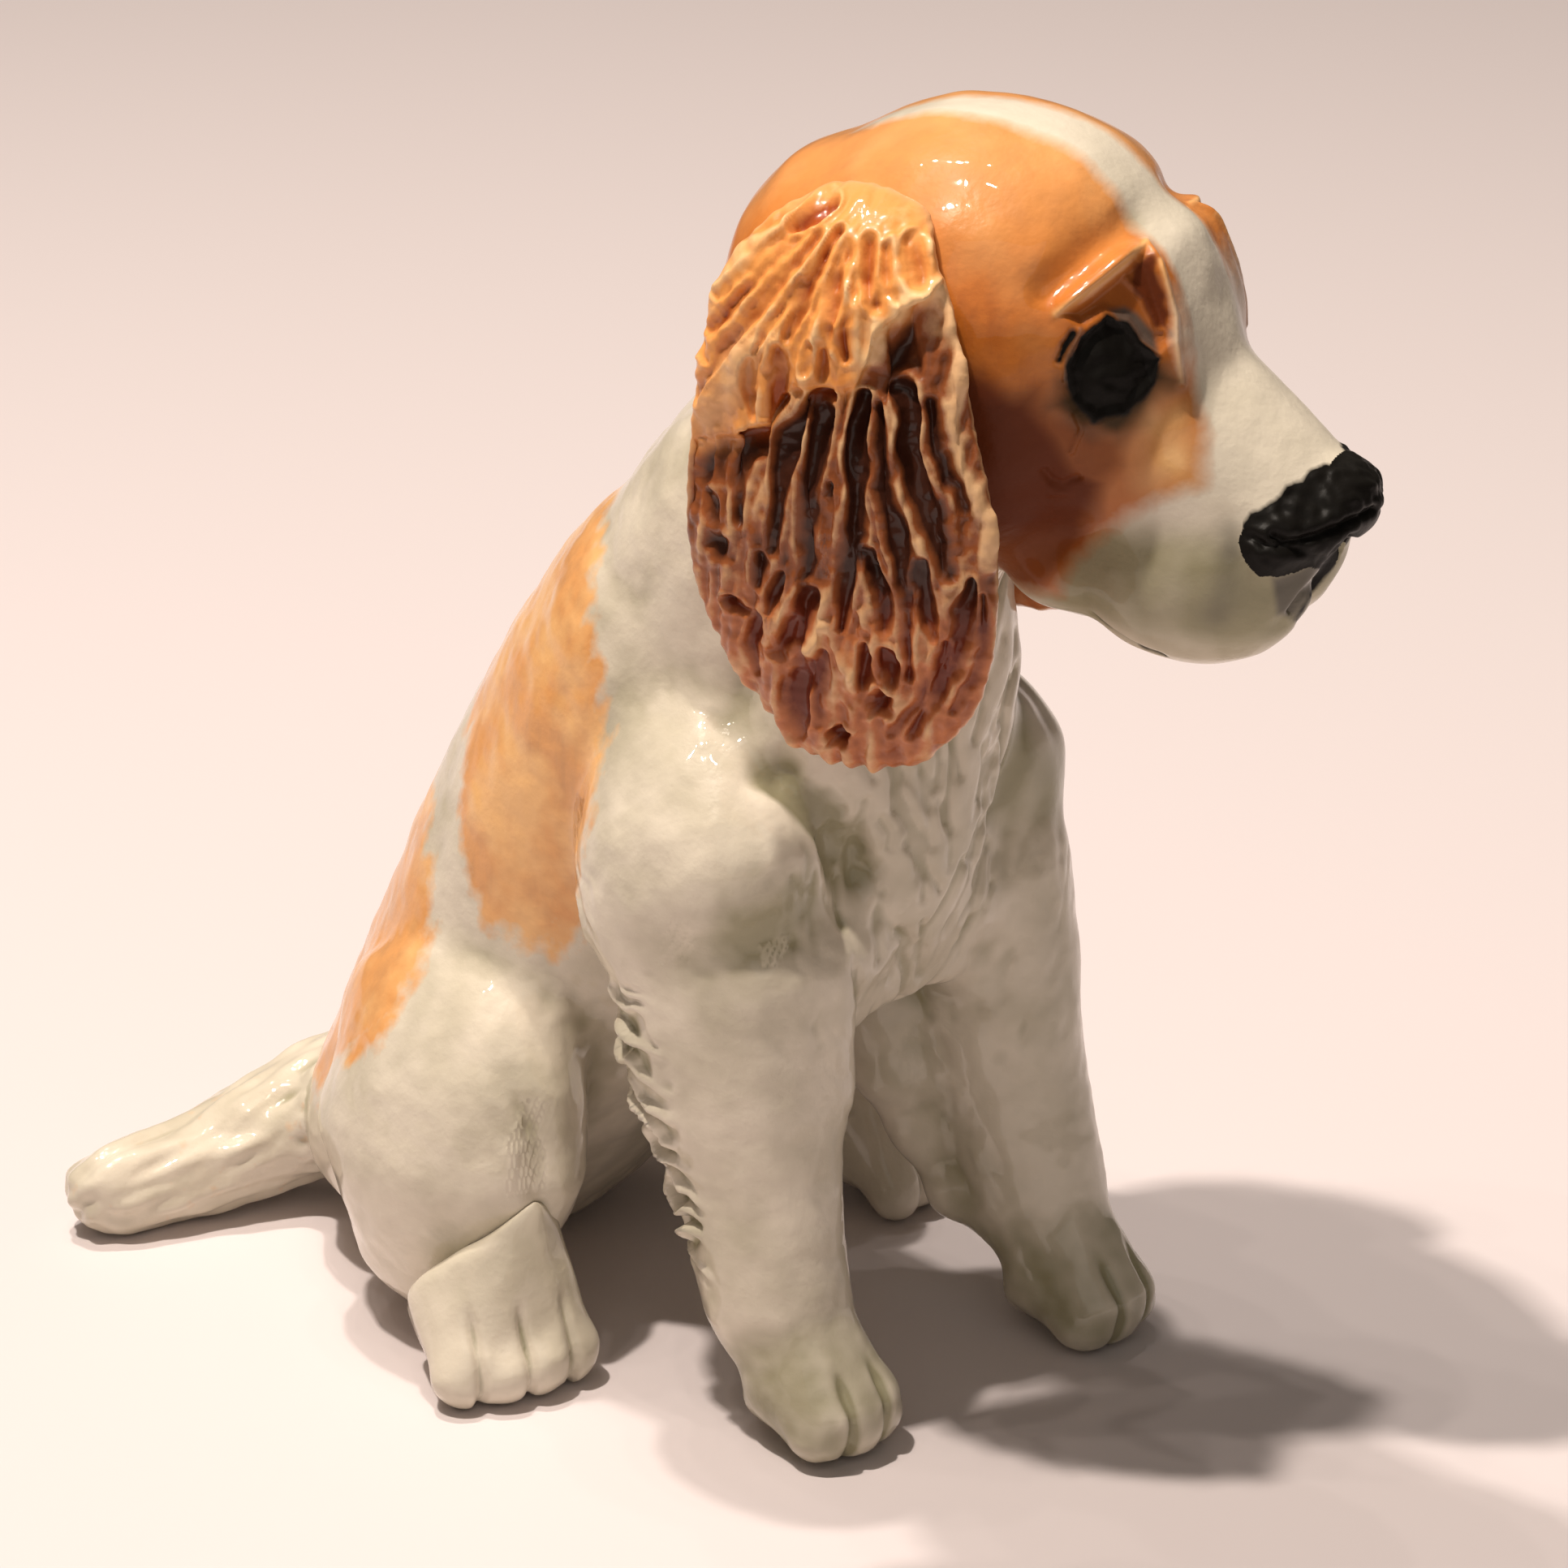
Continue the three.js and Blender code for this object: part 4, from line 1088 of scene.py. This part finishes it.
# %% Node tools
class Mixer:
    """Adds nodes to one node tree and wires them, so that a glaze reads as a few lines."""

    def __init__(self, tree):
        self.nodes = tree.nodes
        self.links = tree.links
        self.where = self.nodes.new("ShaderNodeTexCoord").outputs["Object"]

    def wire(self, value, socket):
        if isinstance(value, bpy.types.NodeSocket):
            self.links.new(value, socket)
        else:
            socket.default_value = value

    def attribute(self, name):
        node = self.nodes.new("ShaderNodeAttribute")
        node.attribute_name = name
        return node.outputs["Fac"]

    def noise(self, size, detail=3, stretch=(1, 1, 1), turn=(0, 0, 0)):
        place = self.nodes.new("ShaderNodeMapping")
        place.inputs["Scale"].default_value = [1 / (size * MM * s) for s in stretch]
        place.inputs["Rotation"].default_value = turn
        self.links.new(self.where, place.inputs["Vector"])
        node = self.nodes.new("ShaderNodeTexNoise")
        node.inputs["Scale"].default_value = 1
        node.inputs["Detail"].default_value = detail
        self.links.new(place.outputs["Vector"], node.inputs["Vector"])
        return node.outputs["Fac"]

    def math(self, kind, a, b):
        node = self.nodes.new("ShaderNodeMath")
        node.operation = kind
        self.wire(a, node.inputs[0])
        self.wire(b, node.inputs[1])
        return node.outputs["Value"]

    def span(self, value, low, high, start=0.0, end=1.0):
        node = self.nodes.new("ShaderNodeMapRange")
        self.wire(value, node.inputs["Value"])
        for name, number in (("From Min", low), ("From Max", high), ("To Min", start), ("To Max", end)):
            node.inputs[name].default_value = number
        return node.outputs["Result"]

    def mix(self, share, a, b):
        node = self.nodes.new("ShaderNodeMix")
        node.data_type = "RGBA"
        self.wire(share, node.inputs["Factor"])
        self.wire(a, node.inputs["A"])
        self.wire(b, node.inputs["B"])
        return next(out for out in node.outputs if out.name == "Result" and out.type == "RGBA")


def glaze(name):
    material = bpy.data.materials.new(name)
    material.use_nodes = True
    return material, Mixer(material.node_tree), material.node_tree.nodes["Principled BSDF"]


print("Node tools:", [name for name in vars(Mixer) if not name.startswith("_")])

# %% [markdown]
# All glazes share the surface that firing gives: a faint unevenness, and gloss that changes a little from
# place to place. It is a node group, built once and placed in each glaze with its own values.

# %% Fired surface
fired = bpy.data.node_groups.new("fired_surface", "ShaderNodeTree")
for name, start in (("Low Roughness", 0.12), ("High Roughness", 0.35)):
    fired.interface.new_socket(name, in_out="INPUT", socket_type="NodeSocketFloat").default_value = start
for name in ("Roughness", "Height"):
    fired.interface.new_socket(name, in_out="OUTPUT", socket_type="NodeSocketFloat")
mixer = Mixer(fired)
given = fired.nodes.new("NodeGroupInput")
result = fired.nodes.new("NodeGroupOutput")
cloudy = mixer.span(mixer.noise(7, 3), 0.35, 0.65)
spread = mixer.math("SUBTRACT", given.outputs["High Roughness"], given.outputs["Low Roughness"])
rough = mixer.math("ADD", given.outputs["Low Roughness"], mixer.math("MULTIPLY", cloudy, spread))
height = mixer.math("ADD", mixer.noise(2.4, 2), mixer.math("MULTIPLY", mixer.noise(0.7, 2), 0.35))
fired.links.new(rough, result.inputs["Roughness"])
fired.links.new(height, result.inputs["Height"])


def fire(material, shader, low, high, depth):
    """Gives a glaze its gloss and its faint unevenness, depth in millimetres."""
    tree = material.node_tree
    surface = tree.nodes.new("ShaderNodeGroup")
    surface.node_tree = fired
    surface.inputs["Low Roughness"].default_value = low
    surface.inputs["High Roughness"].default_value = high
    bump = tree.nodes.new("ShaderNodeBump")
    bump.inputs["Distance"].default_value = depth * MM
    tree.links.new(surface.outputs["Roughness"], shader.inputs["Roughness"])
    tree.links.new(surface.outputs["Height"], bump.inputs["Height"])
    tree.links.new(bump.outputs["Normal"], shader.inputs["Normal"])


print("Shared surface:", len(fired.nodes), "nodes")

# %% [markdown]
# One glaze covers the body: white where nothing else lies, orange inside the coat patches, black on the
# nose and the eyes. Noise frays the edges, and hollows are darker and greener, for glaze that has pooled
# there and for painted shade. One material with attributes keeps the colours in step over the joints
# between pieces.
# Where black, brown or olive lie, the clear coat is left out, because they dried dull.

# %% Coat glaze
CREAM = (0.715, 0.645, 0.53, 1)
GREY_GREEN = (0.33, 0.30, 0.19, 1)
ORANGE = (0.61, 0.18, 0.024, 1)
DEEP_ORANGE = (0.36, 0.085, 0.014, 1)
PALE_ORANGE = (0.84, 0.48, 0.20, 1)
CHEEK_BROWN = (0.13, 0.030, 0.010, 1)
OLIVE = (0.05, 0.028, 0.011, 1)
BLACK = (0.008, 0.007, 0.006, 1)
GREY_WASH = (0.09, 0.08, 0.07, 1)


def coat_glaze(name, specular):
    material, mixer, shader = glaze(name)
    fray = mixer.math("ADD", mixer.noise(5, 4), mixer.noise(1.6, 2))
    frayed = mixer.math("MULTIPLY", mixer.span(fray, 0.6, 1.4, -1.3, 1.3), mixer.attribute("brushed"))
    edge = mixer.math("ADD", mixer.attribute("coat"), frayed)
    orange_share = mixer.span(edge, -1.0, 1.4)
    streaks = mixer.noise(2.4, 4, stretch=(1, 1, 5), turn=(math.radians(30), 0, 0))
    deep = mixer.math("MULTIPLY", mixer.span(streaks, 0.55, 0.3), mixer.attribute("brushed"))
    orange = mixer.mix(deep, ORANGE, DEEP_ORANGE)
    blotches = mixer.span(mixer.noise(9, 3), 0.45, 0.8, 0, 0.8)
    blotches = mixer.math("MULTIPLY", blotches, mixer.attribute("brushed"))
    pale_share = mixer.math("ADD", blotches, mixer.attribute("thin"))
    orange = mixer.mix(pale_share, orange, PALE_ORANGE)
    orange = mixer.mix(mixer.attribute("brown"), orange, CHEEK_BROWN)
    orange = mixer.mix(mixer.attribute("thick"), orange, OLIVE)
    clouds = mixer.span(mixer.noise(11), 0.42, 0.9, 0, 0.8)
    clouds = mixer.math("MULTIPLY", clouds, mixer.attribute("brushed"))
    # Grey-green where glaze pooled in hollows and where shade is painted, and in clouds at random.
    pooled_and_shaded = mixer.math("ADD", mixer.span(mixer.attribute("pool"), 0.0, 0.45), clouds)
    white = mixer.mix(pooled_and_shaded, CREAM, GREY_GREEN)
    colour = mixer.mix(orange_share, white, orange)
    colour = mixer.mix(mixer.attribute("wash"), colour, GREY_WASH)
    black_edge = mixer.math("ADD", mixer.attribute("black"), mixer.span(fray, 0.6, 1.4, -0.25, 0.25))
    black_share = mixer.span(black_edge, -0.2, 0.3)
    colour = mixer.mix(black_share, colour, BLACK)
    mixer.links.new(colour, shader.inputs["Base Color"])
    dull = mixer.math("MAXIMUM", black_share, mixer.attribute("brown"))
    dull = mixer.math("MAXIMUM", dull, mixer.attribute("thick"))
    mixer.links.new(mixer.span(dull, 0, 1, 0.8, 0.0), shader.inputs["Coat Weight"])
    shader.inputs["Coat Roughness"].default_value = 0.03
    shader.inputs["Specular IOR Level"].default_value = specular
    fire(material, shader, low=0.3, high=0.5, depth=0.12)
    return material


finishes = {"eye": coat_glaze("eye_glaze", 0.06), "coat": coat_glaze("coat_glaze", 0.1)}
print("Coat glaze:", len(finishes["coat"].node_tree.nodes), "nodes")

# %% [markdown]
# On the ears the glaze is thin on every rim and thick in every groove, and the troughs are darkened further
# as painted shade. The depth of the carving is kept as an attribute, "tone", and the colours run along it:
# red-orange troughs above, brown ones below, red-brown at the tip, and pale rims. The browns of the lower
# tier are partly painted shade under the upper tier.

# %% Ear glaze
EAR_GROOVE = (0.36, 0.07, 0.010, 1)
EAR_ORANGE = (0.80, 0.33, 0.09, 1)
EAR_RIM = (0.88, 0.56, 0.28, 1)
LOCK_GROOVE = (0.05, 0.015, 0.008, 1)
TIP_GROOVE = (0.17, 0.028, 0.010, 1)
LOCK = (0.29, 0.085, 0.027, 1)
TIP_LOCK = (0.50, 0.165, 0.058, 1)
LOCK_RIM = (0.72, 0.44, 0.23, 1)


def ear_glaze():
    material, mixer, shader = glaze("ear_glaze")
    mottled = mixer.span(mixer.noise(2.2, 4), 0.3, 0.7, -0.12, 0.12)
    tone = mixer.math("ADD", mixer.attribute("tone"), mottled)
    upper = mixer.mix(mixer.span(tone, 0.05, 0.55), EAR_GROOVE, EAR_ORANGE)
    upper = mixer.mix(mixer.span(tone, 0.66, 1.05), upper, EAR_RIM)
    groove = mixer.mix(mixer.attribute("tip"), LOCK_GROOVE, TIP_GROOVE)
    lock = mixer.mix(mixer.attribute("tip"), LOCK, TIP_LOCK)
    lower = mixer.mix(mixer.span(tone, 0.2, 0.66), groove, lock)
    lower = mixer.mix(mixer.span(tone, 0.66, 0.98), lower, LOCK_RIM)
    colour = mixer.mix(mixer.attribute("lower"), upper, lower)
    # The rim colour goes on the ear's pale edges and on the painted highlight.
    colour = mixer.mix(mixer.math("MULTIPLY", mixer.attribute("pale"), 0.6), colour, LOCK_RIM)
    mixer.links.new(colour, shader.inputs["Base Color"])
    shader.inputs["Coat Weight"].default_value = 0.5
    shader.inputs["Coat Roughness"].default_value = 0.03
    shader.inputs["Specular IOR Level"].default_value = 0.1
    fire(material, shader, low=0.3, high=0.5, depth=0.14)
    return material


finishes["ear"] = ear_glaze()
print("Ear glaze:", len(finishes["ear"].node_tree.nodes), "nodes")

# %% [markdown]
# Each piece gets its glaze and says which lump it stands for. The figure is fired stiff, so all pieces ride
# on the one body.

# %% Glazing the pieces
for node, piece in pieces.items():
    kind = node.split("_")[-1]
    piece.data.materials.clear()
    piece.data.materials.append(finishes.get(kind, finishes["coat"]))
    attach(piece, "root")
    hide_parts(node)
print("Glazed:", len(pieces), "pieces")

# %% [markdown]
# ## Table, light and camera
# The dog stands on a pale table under two small warm lamps, high above it, which cast two shadows. Beside
# each hangs a row of weaker lamps that leave small sparkles on the glaze, and a large weak lamp in front
# fills the shade. The dog is seen from its right front, a little from above, through a long lens.

# %% Table
TABLE_SIZE = 6
TABLE_COLOUR = (0.73, 0.66, 0.67, 1)
bpy.ops.mesh.primitive_plane_add(size=TABLE_SIZE)
table = bpy.context.active_object
table.name = "table"
table_finish = bpy.data.materials.new("table_paint")
table_finish.use_nodes = True
table_shader = table_finish.node_tree.nodes["Principled BSDF"]
table_shader.inputs["Base Color"].default_value = TABLE_COLOUR
table_shader.inputs["Roughness"].default_value = 0.6
table.data.materials.append(table_finish)
print("Table:", TABLE_SIZE, "m wide")

# %% Lamps
AIM = Vector((-3.5, -46.5, 69.7)) * MM
ROW = Vector((OUTWARD, -BACKWARD, 0))
LAMP_ROWS = {
    "key": ((0.05, 0.26, 0.96), 1, 0, 0.04, 5.6, (1, 0.90, 0.80)),
    "key_spark": ((0.05, 0.26, 0.96), 4, 0.13, 0.015, 0.5, (1, 0.90, 0.80)),
    "side": ((-0.25, 0.10, 0.96), 1, 0, 0.04, 9.8, (1, 0.89, 0.78)),
    "side_spark": ((-0.25, 0.10, 0.96), 4, 0.13, 0.015, 0.5, (1, 0.88, 0.76)),
    "fill": ((-0.6, -0.75, 0.6), 1, 0, 1.0, 1.5, (1, 0.95, 0.86)),
}
LAMP_FAR = 1.1
for name, (direction, count, pitch, size, power, tint) in LAMP_ROWS.items():
    for k in range(count):
        start = AIM + LAMP_FAR * Vector(direction).normalized() + (k - (count - 1) / 2) * pitch * ROW
        bpy.ops.object.light_add(type="AREA", location=start)
        lamp = bpy.context.active_object
        lamp.name = f"{name}_lamp_{k}"
        lamp.data.size = size
        lamp.data.energy = power
        lamp.data.color = tint
        lamp.rotation_euler = (AIM - lamp.location).to_track_quat("-Z", "Y").to_euler()
world = bpy.data.worlds.new("room")
bpy.context.scene.world = world
world.use_nodes = True
room = world.node_tree.nodes["Background"]
room.inputs["Color"].default_value = (0.80, 0.70, 0.58, 1)
room.inputs["Strength"].default_value = 0.1
print("Lamps:", sum(row[1] for row in LAMP_ROWS.values()))

# %% Camera
EYE = Vector((-485.8, -480.8, 331.9)) * MM
LENS = 142.2
bpy.ops.object.camera_add(location=EYE)
camera = bpy.context.active_object
camera.data.lens = LENS
camera.data.sensor_width = 36
camera.data.clip_start = 0.01
camera.rotation_euler = (AIM - EYE).to_track_quat("-Z", "Y").to_euler()
bpy.context.scene.camera = camera
bpy.context.scene.view_settings.view_transform = "Standard"
print("Camera", round((AIM - EYE).length, 2), "m from the dog")

# %% [markdown]
# ## Size
# The glazed figure keeps the size of the CAD model.
